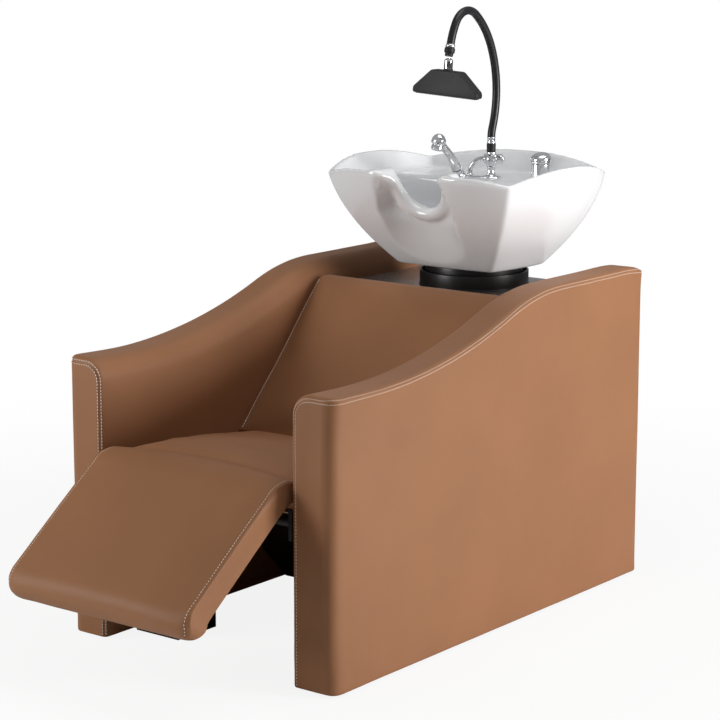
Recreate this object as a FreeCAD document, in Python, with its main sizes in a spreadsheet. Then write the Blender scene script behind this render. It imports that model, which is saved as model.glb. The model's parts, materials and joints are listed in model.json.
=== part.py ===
import FreeCAD, Part
import Sketcher
import math
import os

# Reclining hair washing chair with a tilting ceramic basin.
# X runs across the chair, the sitter faces -Y, +Z is up and the floor is Z = 0.
# Every piece is drawn with Y counted from the front of the arms, and then moved
# back by centre_setback, so that the origin ends under the middle of the whole.
# The near side is +X and the far side is -X.

SIZES = [
    ("overall_width", 700, "across both arms"),
    ("arm_thickness", 96, "one arm, upholstery included"),
    ("arm_length", 1108, "front of the arms to their back"),
    ("arm_front_height", 588, "top of the armrest at the front"),
    ("arm_back_height", 708, "top of the armrest at the back"),
    ("arm_sweep_start", 120, "where the armrest starts to rise"),
    ("arm_sweep_length", 655, "length of the rise"),
    ("arm_sweep_share", 0.72, "share of the rise that curves up"),
    ("arm_inner_round", 40, "top edge towards the sitter"),
    ("arm_outer_round", 14, "top edge away from the sitter"),
    ("arm_end_round", 26, "edges of the front and back faces"),
    ("cover_thickness", 18, "foam and leather on the sides of an arm"),
    ("cover_top", 42, "foam and leather on top of an arm"),
    ("ground_gap", 4, "floor to the underside of an arm"),
    ("glide_radius", 19, "plastic glide under an arm"),
    ("glide_inset", 70, "end of an arm to the centre of its glide"),
    ("soft_gap", 0.3, "clearance around soft pieces and panels"),
    ("running_gap", 0.05, "radial clearance of a shaft in its bore"),
    ("cut_overrun", 5, "how far a cutting tool passes its piece"),
    ("seat_top", 318, "top of the seat board"),
    ("seat_board_thickness", 18, "plywood"),
    ("seat_board_inset", 12, "side of the seat board to the arm"),
    ("seat_board_back", 468, "arm fronts to the back edge of the seat board"),
    ("seat_side_bulge", 6, "how far the sides of the seat swell"),
    ("seat_front_height", 400, "side seam of the seat at the front"),
    ("seat_middle_height", 390, "side seam of the seat at mid length"),
    ("seat_back_height", 368, "side seam of the seat at the backrest"),
    ("seat_length", 425, "arm fronts to the foot of the backrest"),
    ("seat_front_crown", 23, "swell of the seat at its front"),
    ("seat_middle_crown", 36, "swell of the seat at mid length"),
    ("seat_back_crown", 12, "swell of the seat at the backrest"),
    ("seat_middle_share", 0.5, "where the seat swells most"),
    ("back_angle", 47.2, "backrest above the horizontal"),
    ("back_length", 427, "foot to top of the backrest"),
    ("back_cushion_thickness", 70, "foam and leather"),
    ("back_crown", 15, "swell of the backrest"),
    ("back_side_bulge", 5, "how far the sides of the backrest swell"),
    ("back_top_round", 14, "rounding of the top of the backrest"),
    ("back_swell_share", 0.25, "where the backrest has swelled fully"),
    ("back_board_thickness", 18, "plywood"),
    ("back_board_inset", 14, "side of the back board to the arm"),
    ("back_board_start", 2, "foot of the backrest to its board"),
    ("back_board_top_gap", 27, "top of the cushion to the top of its board"),
    ("rail_width", 25, "steel side rail, across"),
    ("rail_height", 40, "steel side rail, upright"),
    ("rail_wall", 2, "wall of the rails and tubes"),
    ("rail_start", 108, "arm fronts to the front end of the rails"),
    ("rail_length", 590, "length of a side rail"),
    ("back_tube_radius", 19, "round tube behind the backrest"),
    ("back_tube_place", 300, "foot of the backrest to that tube"),
    ("rail_bolt_radius", 5, "bolt through a rail into an arm"),
    ("rail_bolt_head_radius", 9, "its head"),
    ("rail_bolt_head_height", 6, "its head"),
    ("rail_bolt_reach", 46, "how deep the bolt goes into an arm"),
    ("rail_bolt_inset", 70, "end of a rail to its bolt"),
    ("pivot_along", 22, "arm fronts to the legrest shaft"),
    ("pivot_height", 332, "height of the legrest shaft"),
    ("shaft_radius", 9, "legrest shaft"),
    ("pivot_tube_radius", 12.5, "tube of the legrest on the shaft"),
    ("boss_radius", 15, "boss of a shaft bracket"),
    ("boss_length", 12, "boss of a shaft bracket"),
    ("bracket_thickness", 8, "plate of a shaft bracket"),
    ("bracket_half", 30, "half the side of the bracket plate"),
    ("side_play", 1, "sideways play of the legrest on its shaft"),
    ("legrest_drop", 37, "legrest below the horizontal at rest"),
    ("legrest_length", 345, "shaft to the nose of the legrest"),
    ("legrest_half_width", 240, "middle to the side of the legrest"),
    ("legrest_side_bulge", 5, "how far its sides swell"),
    ("legrest_under", 39, "shaft centre to the underside of the pad"),
    ("legrest_pad_thickness", 58, "foam and leather at the side seams"),
    ("legrest_crown", 9, "swell of the legrest"),
    ("legrest_nose", 28, "length of the rounded nose"),
    ("legrest_nose_drop", 20, "how far the nose closes in at its end"),
    ("legrest_board_thickness", 12, "plywood"),
    ("legrest_board_inset", 22, "edge of the pad to the edge of its board"),
    ("hinge_arm_width", 40, "steel arm under the legrest board"),
    ("hinge_arm_height", 17, "steel arm under the legrest board"),
    ("hinge_arm_length", 290, "shaft to the end of a steel arm"),
    ("hinge_arm_place", 150, "middle of the legrest to a steel arm"),
    ("roll_radius", 78, "rounded end of the legrest, in the middle"),
    ("roll_end_radius", 58, "rounded end of the legrest, at its sides"),
    ("roll_sweep", 67, "angle that the rounded end covers"),
    ("roll_gap", 1, "seat to the rounded end of the legrest"),
    ("belly_thickness", 6, "slanted panel under the seat"),
    ("belly_angle", 45, "slanted panel below the horizontal"),
    ("belly_start", 332, "arm fronts to the top of the slanted panel"),
    ("box_width", 118, "control box, across"),
    ("box_depth", 119, "control box, along the chair"),
    ("box_height", 112, "control box without its lid"),
    ("box_lid_height", 10, "lid of the control box"),
    ("box_wall", 3, "wall of the control box"),
    ("box_start", 90, "arm fronts to the control box"),
    ("shelf_height", 655, "top of the shelf behind the backrest"),
    ("shelf_thickness", 18, "shelf board"),
    ("shelf_gap", 1, "backrest cushion to the shelf"),
    ("shelf_hole_radius", 95, "hole for the drain and the supplies"),
    ("cleat_size", 30, "wooden cleat under the shelf"),
    ("cleat_start", 800, "arm fronts to the front of a cleat"),
    ("panel_thickness", 12, "back panel"),
    ("panel_setback", 13, "back panel inside the ends of the arms"),
    ("panel_bottom", 30, "floor to the back panel"),
    ("ring_along", 955, "arm fronts to the centre of the basin ring"),
    ("ring_radius", 124, "basin ring"),
    ("ring_wall", 4, "wall of the basin ring"),
    ("ring_height", 35, "basin ring above the shelf"),
    ("collar_radius", 112, "collar under the basin"),
    ("collar_wall", 4, "wall and top of the collar"),
    ("collar_skirt", 28, "collar below its top"),
    ("tilt_pin_radius", 4, "pins that the basin tilts on"),
    ("tilt_pin_rise", 29, "shelf to those pins"),
    ("tilt_pin_reach", 3, "how far a pin stands into the collar"),
    ("basin_rise", 50, "shelf to the underside of the basin"),
    ("basin_loft_height", 245, "underside to the level of the upper outline"),
    ("basin_front_half", 127, "half width of the underside, front"),
    ("basin_back_half", 144, "half width of the underside, back"),
    ("basin_front", 838, "arm fronts to the underside, front"),
    ("basin_back", 1020, "arm fronts to the underside, back"),
    ("basin_foot_bulge", 8, "swell of the underside's edges"),
    ("basin_top_front_half", 268, "half width of the upper outline, front"),
    ("basin_top_back_half", 264, "half width of the upper outline, back"),
    ("basin_top_front", 712, "arm fronts to the upper outline, front"),
    ("basin_top_back", 1131, "arm fronts to the upper outline, back"),
    ("basin_side_bulge", 30, "swell of the upper outline's sides"),
    ("basin_front_bulge", 51, "swell of the upper outline's front"),
    ("basin_back_bulge", 50, "swell of the upper outline's back"),
    ("basin_swell", 18, "how far the walls curve outwards at half height"),
    ("rim_corner_rise", 210, "underside of the basin to the four corners of its rim"),
    ("rim_rise", 28, "rim between two corners above the corners"),
    ("rim_half", 248, "middle to a rim corner, across"),
    ("rim_front", 730, "arm fronts to the front rim corners"),
    ("rim_back", 1115, "arm fronts to the back rim corners"),
    ("basin_wall", 13, "ceramic wall"),
    ("basin_floor", 30, "ceramic floor, its drain recess included"),
    ("deck_rise", 187, "underside of the basin to the ledge that carries the taps"),
    ("deck_thickness", 14, "ceramic under the taps"),
    ("deck_front", 945, "arm fronts to the front edge of the ledge"),
    ("bowl_floor_back", 932, "arm fronts to the back of the bowl's floor"),
    ("bowl_bulge", 6, "swell of the bowl's edges"),
    ("pocket_front", 957, "arm fronts to the hollow under the taps"),
    ("pocket_depth", 46, "that hollow at the underside, along the chair"),
    ("pocket_half", 105, "half width of that hollow at the underside"),
    ("pocket_top_depth", 122, "that hollow under the ledge"),
    ("pocket_top_half", 186, "half width of that hollow under the ledge"),
    ("notch_half", 108, "half width of the neck notch at the rim"),
    ("notch_low_half", 62, "half width where its round bottom starts"),
    ("notch_low_rise", 171, "underside of the basin to where the notch's round bottom starts"),
    ("notch_rise", 141, "underside of the basin to the lowest point of the neck notch"),
    ("notch_reach", 150, "length of the cut that makes the notch"),
    ("notch_start", 660, "arm fronts to the start of that cut"),
    ("neck_half", 110, "half width of the hollow in the wall under the notch"),
    ("neck_foot_along", 824, "arm fronts to that hollow at the underside, in the middle"),
    ("neck_foot_edge", 818, "arm fronts to that hollow at the underside, at its edges"),
    ("neck_low_rise", 55, "underside of the basin to the lower level of that hollow"),
    ("neck_low_along", 801, "arm fronts to it at the lower level, in the middle"),
    ("neck_low_edge", 776, "arm fronts to it at the lower level, at its edges"),
    ("neck_high_rise", 110, "underside of the basin to the upper level of that hollow"),
    ("neck_high_along", 786, "arm fronts to it at the upper level, in the middle"),
    ("neck_high_edge", 733, "arm fronts to it at the upper level, at its edges"),
    ("lip_radius", 15, "rounded lip of the notch"),
    ("lip_end_across", 106, "middle to the upper end of the lip"),
    ("lip_end_along", 706, "arm fronts to the upper end of the lip"),
    ("lip_end_rise", 215, "underside of the basin to the upper end of the lip"),
    ("lip_side_across", 91, "middle to the steep part of the lip"),
    ("lip_side_along", 745, "arm fronts to the steep part of the lip"),
    ("lip_side_rise", 195, "underside of the basin to the steep part of the lip"),
    ("lip_low_across", 60, "middle to the turn of the lip"),
    ("lip_low_along", 767, "arm fronts to the turn of the lip"),
    ("lip_low_rise", 153, "underside of the basin to the turn of the lip"),
    ("lip_along", 778, "arm fronts to the lip's axis, in the middle"),
    ("lip_rise", 127, "underside of the basin to the lip's axis, in the middle"),
    ("drain_along", 893, "arm fronts to the drain"),
    ("drain_radius", 22, "body of the drain"),
    ("drain_gap", 0.6, "drain body in its hole"),
    ("strainer_radius", 34, "flange of the strainer"),
    ("strainer_height", 3, "flange of the strainer"),
    ("strainer_hole_radius", 3, "holes of the strainer"),
    ("strainer_ring_radius", 8, "circle that those holes lie on"),
    ("drain_nut_radius", 31, "nut under the collar, across its corners"),
    ("drain_nut_height", 12, "nut under the collar"),
    ("drain_body_length", 62, "drain body below the bowl's floor"),
    ("drain_bore_radius", 14, "bore of the drain and its tail"),
    ("tail_radius", 16, "tail that takes the waste hose"),
    ("tail_length", 70, "tail that takes the waste hose"),
    ("tap_along", 1018, "arm fronts to the spray valve"),
    ("tap_flange_radius", 22.5, "flange of the spray valve"),
    ("tap_flange_height", 4, "flange of the spray valve"),
    ("tap_plate_width", 22, "plate from the valve to the hand shower"),
    ("tap_plate_height", 3, "plate from the valve to the hand shower"),
    ("tap_plate_end_gap", 1, "end of that plate to the hand shower's base"),
    ("tap_stem_radius", 8.5, "stem under the valve"),
    ("tap_stem_height", 26, "stem above the ledge"),
    ("shank_radius", 9, "shanks through the ledge"),
    ("shank_length", 30, "shanks below the top of the ledge"),
    ("shank_gap", 0.4, "shank in its hole"),
    ("valve_radius", 12, "upright part of the valve body"),
    ("valve_rise", 58, "ledge to the top of the valve body"),
    ("valve_barrel_radius", 13, "level part of the valve body"),
    ("valve_barrel_rise", 42, "ledge to the level part"),
    ("valve_pipe_reach", 16, "level part, from the axis to the link pipe"),
    ("valve_knob_reach", 14, "level part, from the axis to the knob"),
    ("knob_radius", 11, "valve knob, across its corners"),
    ("knob_length", 13, "valve knob"),
    ("spindle_radius", 4, "spindle of the knob"),
    ("spindle_length", 8, "spindle of the knob"),
    ("swivel_radius", 6, "spigots of the two swivels"),
    ("swivel_length", 11, "spigots of the two swivels"),
    ("swivel_gap", 0.3, "face to face play of a swivel"),
    ("hose_collar_radius", 10.5, "black collar under the spray arm"),
    ("hose_collar_height", 19, "black collar under the spray arm"),
    ("low_ferrule_radius", 8.7, "lower ferrule of the spray arm"),
    ("low_ferrule_height", 14, "lower ferrule of the spray arm"),
    ("hose_radius", 9, "spray arm"),
    ("hose_bend_radius_a", 60, "first bend, backwards"),
    ("hose_bend_turn_a", 19.9, "first bend"),
    ("hose_bend_radius_b", 242.4, "long bend forwards"),
    ("hose_bend_turn_b", 45.2, "long bend"),
    ("hose_bend_radius_c", 187.8, "shoulder of the arch"),
    ("hose_bend_turn_c", 29, "shoulder of the arch"),
    ("hose_bend_radius_d", 53.4, "top of the arch"),
    ("hose_bend_turn_d", 94.8, "top of the arch"),
    ("hose_bend_radius_e", 170.6, "far side of the arch"),
    ("hose_end_lean", 14, "end of the spray arm off the upright"),
    ("high_ferrule_radius", 10.5, "upper ferrule of the spray arm"),
    ("high_ferrule_height", 6, "upper ferrule of the spray arm"),
    ("swivel_nut_radius", 11.8, "nut over the spray head"),
    ("swivel_nut_height", 20, "nut over the spray head"),
    ("spray_ball_radius", 5.5, "ball of the spray head in its nut"),
    ("spray_ball_depth", 3, "face of the nut to the ball's centre"),
    ("spray_ball_room", 0.5, "radial room of that ball"),
    ("spray_stem_radius", 4, "stem between the ball and the neck"),
    ("spray_stem_length", 7.5, "ball's centre to the neck"),
    ("spray_roll", 3, "sideways lean of the spray head"),
    ("spray_neck_radius", 9.6, "neck of the spray head"),
    ("spray_neck_height", 23, "neck of the spray head"),
    ("spray_boss_radius", 10.5, "boss around the foot of the neck"),
    ("spray_boss_height", 3.5, "boss around the foot of the neck"),
    ("spray_top_half", 38, "half width of the spray head's top"),
    ("spray_half", 87, "half width of the spray head's foot"),
    ("spray_height", 55, "spray head"),
    ("spray_edge", 13, "upright ends of the spray head"),
    ("spray_thickness", 24, "spray head"),
    ("nozzle_inset", 5, "edge of the spray head to the nozzle strip"),
    ("nozzle_height", 2, "nozzle strip"),
    ("shower_across", -68.5, "hand shower, from the middle"),
    ("shower_along", 993, "arm fronts to the hand shower"),
    ("shower_base_radius", 15, "base of its socket"),
    ("shower_base_height", 6, "base of its socket"),
    ("shower_lean", 46, "hand shower off the upright"),
    ("socket_radius", 13, "leaning part of the socket"),
    ("socket_length", 18, "leaning part of the socket"),
    ("plug_radius", 8, "end of the handle in the socket"),
    ("plug_length", 10, "end of the handle in the socket"),
    ("handle_low_radius", 12, "handle at the socket"),
    ("handle_high_radius", 9, "handle at the head"),
    ("ball_radius", 16.5, "ball of the hand shower's head"),
    ("ball_distance", 117, "deck to the ball's centre, along the handle"),
    ("ball_gap", 0.1, "handle to the ball"),
    ("handle_bite", 4, "how far the handle reaches over the ball"),
    ("nozzle_radius", 13.5, "outlet of the hand shower"),
    ("nozzle_reach", 22, "ball's centre to the face of the outlet"),
    ("nozzle_turn", 160, "outlet from the upright, forwards"),
    ("pipe_radius", 6, "link pipe"),
    ("pipe_bend_radius", 33, "bend of the link pipe"),
    ("mixer_across", 151, "mixer, from the middle"),
    ("mixer_along", 994, "arm fronts to the mixer"),
    ("mixer_radius", 21, "body of the mixer"),
    ("mixer_height", 44, "body of the mixer"),
    ("mixer_foot_radius", 23, "foot ring of the mixer"),
    ("mixer_foot_height", 4, "foot ring of the mixer"),
    ("mixer_cap_height", 5, "turning ring of the mixer"),
    ("lever_radius", 22, "domed lever of the mixer"),
    ("lever_height", 20, "domed lever of the mixer, at its back"),
    ("lever_slope", 22, "slant of the lever's top"),
    ("lever_gap", 0.3, "between the mixer's moving pieces"),
]

doc = FreeCAD.newDocument("hair_washing_chair")
sheet = doc.addObject("Spreadsheet::Sheet", "sizes")


class Size:
    """A number together with the sheet formula that gives it."""

    def __init__(self, number, formula):
        self.number = float(number)
        self.formula = formula

    def __float__(self):
        return self.number

    def __add__(self, other):
        other = as_size(other)
        return Size(self.number + other.number, f"({self.formula} + {other.formula})")

    def __radd__(self, other):
        return as_size(other) + self

    def __sub__(self, other):
        other = as_size(other)
        return Size(self.number - other.number, f"({self.formula} - {other.formula})")

    def __rsub__(self, other):
        return as_size(other) - self

    def __mul__(self, other):
        other = as_size(other)
        return Size(self.number * other.number, f"({self.formula} * {other.formula})")

    def __rmul__(self, other):
        return as_size(other) * self

    def __truediv__(self, other):
        other = as_size(other)
        return Size(self.number / other.number, f"({self.formula} / {other.formula})")

    def __neg__(self):
        return Size(-self.number, f"(-{self.formula})")


def as_size(value):
    return value if isinstance(value, Size) else Size(value, str(value))


def sine(angle):
    return Size(math.sin(math.radians(angle.number)), f"sin({angle.formula})")


def cosine(angle):
    return Size(math.cos(math.radians(angle.number)), f"cos({angle.formula})")


def tangent(angle):
    return Size(math.tan(math.radians(angle.number)), f"tan({angle.formula})")


class Named:
    """The sheet's values by name."""


size = Named()
rows_used = 0


def write_cell(name, content, note):
    """Put one value or formula into the next row of the sheet."""
    global rows_used
    rows_used += 1
    sheet.set(f"A{rows_used}", name)
    sheet.set(f"B{rows_used}", content)
    sheet.set(f"C{rows_used}", note)
    sheet.setAlias(f"B{rows_used}", name)


def derive(name, value, note):
    """Give a worked out value a cell of its own."""
    write_cell(name, "=" + value.formula.replace("sizes.", ""), note)
    named = Size(value.number, f"sizes.{name}")
    setattr(size, name, named)
    return named


for size_name, size_value, size_note in SIZES:
    write_cell(size_name, str(size_value), size_note)
    setattr(size, size_name, Size(size_value, f"sizes.{size_name}"))

NONE = Size(0, "0")
ACROSS = FreeCAD.Vector(1, 0, 0)
ALONG = FreeCAD.Vector(0, 1, 0)
UP = FreeCAD.Vector(0, 0, 1)
QUARTER = Size(90, "90")
HALF_TURN = Size(180, "180")
ROUND_SHARES = (0, 0.4, 0.7, 0.9, 1)
FOREMOST_SHARE = 0.9
STRAINER_HOLES = 6
WALL_STEPS = 4
TOUCHING = 0.01


def closing_share(share):
    """Share by which a rounded end has closed in, at a share of its length."""
    return 1 - math.sqrt(1 - share * share)


derive("inner_half", size.overall_width / 2 - size.arm_thickness, "middle to an arm")
derive("between_half", size.inner_half - size.soft_gap, "half width of what fits between the arms")
derive("rail_top", size.seat_top - size.seat_board_thickness, "top of the side rails")
derive("rail_bottom", size.rail_top - size.rail_height, "underside of the side rails")
derive("rail_inner", size.between_half - size.rail_width, "middle to a side rail")
derive("rail_bolt_height", size.rail_bottom + size.rail_height / 2, "height of the rail bolts")
derive("shelf_bottom", size.shelf_height - size.shelf_thickness, "underside of the shelf")
derive("panel_front", size.arm_length - size.panel_setback - size.panel_thickness, "front of the back panel")
derive("legrest_top", size.legrest_under + size.legrest_pad_thickness, "shaft centre to the side seams")
derive(
    "nose_along",
    size.pivot_along
    - (size.legrest_length - size.legrest_nose * (1 - FOREMOST_SHARE)) * cosine(size.legrest_drop)
    - (
        size.legrest_top - size.legrest_nose_drop * closing_share(FOREMOST_SHARE)
        + size.legrest_crown * (1 - FOREMOST_SHARE / 2)
    ) * sine(size.legrest_drop),
    "front of the legrest's nose",
)
derive("tilt_pin_height", size.shelf_height + size.tilt_pin_rise, "height of the pins of the basin")
derive("basin_bottom", size.shelf_height + size.basin_rise, "underside of the basin")
for rise_name, level_name, level_note in (
    ("rim_corner_rise", "rim_corner_height", "rim at its four corners"),
    ("deck_rise", "deck_height", "ledge that carries the taps"),
    ("notch_low_rise", "notch_low_height", "height where the notch's round bottom starts"),
    ("notch_rise", "notch_bottom", "lowest point of the neck notch"),
    ("neck_low_rise", "neck_low_height", "lower level of the hollow under the notch"),
    ("neck_high_rise", "neck_high_height", "upper level of the hollow under the notch"),
    ("lip_end_rise", "lip_end_height", "upper end of the lip"),
    ("lip_side_rise", "lip_side_height", "steep part of the lip"),
    ("lip_low_rise", "lip_low_height", "turn of the lip"),
    ("lip_rise", "lip_height", "lip's axis, in the middle"),
):
    derive(level_name, size.basin_bottom + getattr(size, rise_name), level_note)
derive("tap_stem_top", size.deck_height + size.tap_stem_height, "top of the stem under the valve")
derive("valve_top", size.deck_height + size.valve_rise, "top of the valve body")
derive("valve_barrel_height", size.deck_height + size.valve_barrel_rise, "height of its level part")
derive("rim_top", size.rim_corner_height + size.rim_rise, "highest point of the rim")
derive("rim_share", (size.rim_top - size.basin_bottom) / size.basin_loft_height, "rim's place on the walls")
derive(
    "rim_over_corners",
    (size.rim_top - size.basin_bottom) / (size.rim_corner_height - size.basin_bottom),
    "height of the rim as a share of its corners' height",
)
derive(
    "basin_rear",
    size.basin_back + size.basin_foot_bulge
    + (size.basin_top_back + size.basin_back_bulge - size.basin_back - size.basin_foot_bulge)
    * size.rim_share
    - 4 * size.rim_over_corners * (size.rim_over_corners - 1) * size.basin_swell,
    "rearmost point of the basin",
)
derive("centre_setback", (size.nose_along + size.basin_rear) / 2, "arm fronts to the origin")

nodes = []
steps_along = {}


def bind(piece, prop, value):
    """Tie a property to the sheet formula of a value."""
    piece.setExpression(prop, value.formula)


def point(across, along, up):
    return FreeCAD.Vector(float(across), float(along), float(up))


def set_place(piece, across=NONE, along=NONE, up=NONE, axis=None, angle=None):
    """Place a piece, turned about one axis if it leans."""
    turn = FreeCAD.Rotation(axis, float(angle)) if axis else FreeCAD.Rotation()
    piece.Placement = FreeCAD.Placement(point(across, along, up), turn)
    bind(piece, "Placement.Base.x", across)
    bind(piece, "Placement.Base.y", along)
    bind(piece, "Placement.Base.z", up)
    if axis:
        bind(piece, "Placement.Rotation.Angle", angle)
    steps_along[piece.Name] = along
    return piece


def node(label, piece):
    """Make a finished piece one of the written sub-parts."""
    piece.Label = label
    along = steps_along.get(piece.Name, NONE)
    bind(piece, "Placement.Base.y", along - size.centre_setback)
    nodes.append(piece)
    return piece


def box(name, low, extent):
    """Upright box from its low corner and its three sizes."""
    piece = doc.addObject("Part::Box", name)
    for prop, value in zip(("Length", "Width", "Height"), extent):
        setattr(piece, prop, float(value))
        bind(piece, prop, as_size(value))
    return set_place(piece, *low)


def rod(name, radius, length, foot, axis=None, angle=None):
    """Round bar that stands on its foot, or leans from it about an axis."""
    piece = doc.addObject("Part::Cylinder", name)
    bind(piece, "Radius", radius)
    bind(piece, "Height", length)
    return set_place(piece, *foot, axis, angle)


def cross_rod(name, radius, length, start):
    """Round bar along +X from its start."""
    return rod(name, radius, length, start, ALONG, QUARTER)


def many_sided(name, sides, radius, length, foot, axis=None, angle=None):
    piece = doc.addObject("Part::Prism", name)
    piece.Polygon = sides
    bind(piece, "Circumradius", radius)
    bind(piece, "Height", length)
    return set_place(piece, *foot, axis, angle)


def fused(name, pieces):
    piece = doc.addObject("Part::MultiFuse", name)
    piece.Shapes = pieces
    return piece


def without(name, base, tools):
    """The base with one or more tools cut away."""
    piece = doc.addObject("Part::Cut", name)
    piece.Base = base
    piece.Tool = tools[0] if len(tools) == 1 else fused(name + "_tools", tools)
    return piece


def made(name, shape, along=NONE, up=NONE, axis=None, angle=None):
    """Feature that holds a shape made with Part's own functions."""
    piece = doc.addObject("Part::Feature", name)
    piece.Shape = shape
    return set_place(piece, NONE, along, up, axis, angle)


def plane_of(body, role):
    return next(plane for plane in body.Origin.OriginFeatures if plane.Role == role)


def arc_centre(start, end, radius):
    """Centre of the minor arc; a positive radius puts it to the left of start to end."""
    middle = (start + end) * 0.5
    chord = end - start
    height = math.sqrt(radius * radius - chord.Length * chord.Length / 4)
    left = FreeCAD.Vector(-chord.y, chord.x, 0).normalize()
    return middle + left * math.copysign(height, radius)


def outline(body, name, role, offset, corners, radii=None):
    """Closed sketch; each corner is tied to two sizes, and a side with a radius is an arc."""
    radii = radii or {}
    sketch = body.newObject("Sketcher::SketchObject", name)
    sketch.AttachmentSupport = [(plane_of(body, role), "")]
    sketch.MapMode = "FlatFace"
    sketch.AttachmentOffset = FreeCAD.Placement(point(0, 0, offset), FreeCAD.Rotation())
    bind(sketch, "AttachmentOffset.Base.z", as_size(offset))
    spots = [point(first, second, 0) for first, second in corners]
    ends = []
    for side, start in enumerate(spots):
        end = spots[(side + 1) % len(spots)]
        if side in radii:
            radius = float(radii[side])
            centre = arc_centre(start, end, radius)
            circle = Part.Circle(centre, UP, abs(radius))
            first, last = (start, end) if radius > 0 else (end, start)
            sketch.addGeometry(Part.ArcOfCircle(circle, circle.parameter(first), circle.parameter(last)))
            ends.append((1, 2) if radius > 0 else (2, 1))
        else:
            sketch.addGeometry(Part.LineSegment(start, end))
            ends.append((1, 2))
    for side, (start_end, far_end) in enumerate(ends):
        following = (side + 1) % len(ends)
        link = Sketcher.Constraint("Coincident", side, far_end, following, ends[following][0])
        sketch.addConstraint(link)
    for side, (first, second) in enumerate(corners):
        for kind, value in (("DistanceX", first), ("DistanceY", second)):
            tie = Sketcher.Constraint(kind, -1, 1, side, ends[side][0], float(value))
            bind(sketch, f"Constraints[{sketch.addConstraint(tie)}]", as_size(value))
        if side in radii:
            tie = Sketcher.Constraint("Radius", side, abs(float(radii[side])))
            value = radii[side] if float(radii[side]) > 0 else -radii[side]
            bind(sketch, f"Constraints[{sketch.addConstraint(tie)}]", value)
    return sketch


def padded_outline(name, role, offset, length, corners, radii=None):
    """Body with one outline, padded along the plane's normal."""
    body = doc.addObject("PartDesign::Body", name)
    sketch = outline(body, name + "_outline", role, offset, corners, radii)
    pad = body.newObject("PartDesign::Pad", name + "_pad")
    pad.Profile = sketch
    bind(pad, "Length", length)
    doc.recompute()
    return body


def rounded(body, radius, wanted):
    """Round those edges of the body's tip that pass the test."""
    tip = body.Tip
    names = [f"Edge{place + 1}" for place, edge in enumerate(tip.Shape.Edges) if wanted(edge)]
    fillet = body.newObject("PartDesign::Fillet", body.Name + "_round")
    fillet.Base = (tip, names)
    fillet.Radius = float(radius)
    bind(fillet, "Radius", radius)
    doc.recompute()
    return body


def arm_corners(inset, drop):
    """Side view of an arm, drawn in by an inset and lowered by a drop."""
    front = size.arm_front_height - drop
    rise = size.arm_back_height - size.arm_front_height
    return [
        (inset, size.ground_gap),
        (size.arm_length - inset, size.ground_gap),
        (size.arm_length - inset, front + rise),
        (size.arm_sweep_start + size.arm_sweep_length, front + rise),
        (
            size.arm_sweep_start + size.arm_sweep_length * size.arm_sweep_share,
            front + rise * size.arm_sweep_share,
        ),
        (size.arm_sweep_start, front),
        (inset, front),
    ]


def arm_radii():
    """The two tangent arcs of the armrest's rise."""
    rise = size.arm_back_height - size.arm_front_height
    whole = (size.arm_sweep_length * size.arm_sweep_length + rise * rise) / (2 * rise)
    return {3: whole * (1 - size.arm_sweep_share), 4: -whole * size.arm_sweep_share}


def is_at(value, target):
    return abs(value - float(target)) < TOUCHING


def runs_along_top(edge, side):
    """True for the top edges of an arm on the plane X = side."""
    box_of_edge = edge.BoundBox
    on_side = is_at(box_of_edge.XMin, side) and is_at(box_of_edge.XMax, side)
    return on_side and box_of_edge.ZMin > float(size.arm_front_height) - TOUCHING


def on_end_face(edge):
    """True for the edges of an arm's front and back faces, its foot left out."""
    box_of_edge = edge.BoundBox
    at_front = is_at(box_of_edge.YMax, 0)
    at_back = is_at(box_of_edge.YMin, size.arm_length)
    return (at_front or at_back) and not is_at(box_of_edge.ZMax, size.ground_gap)


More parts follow.
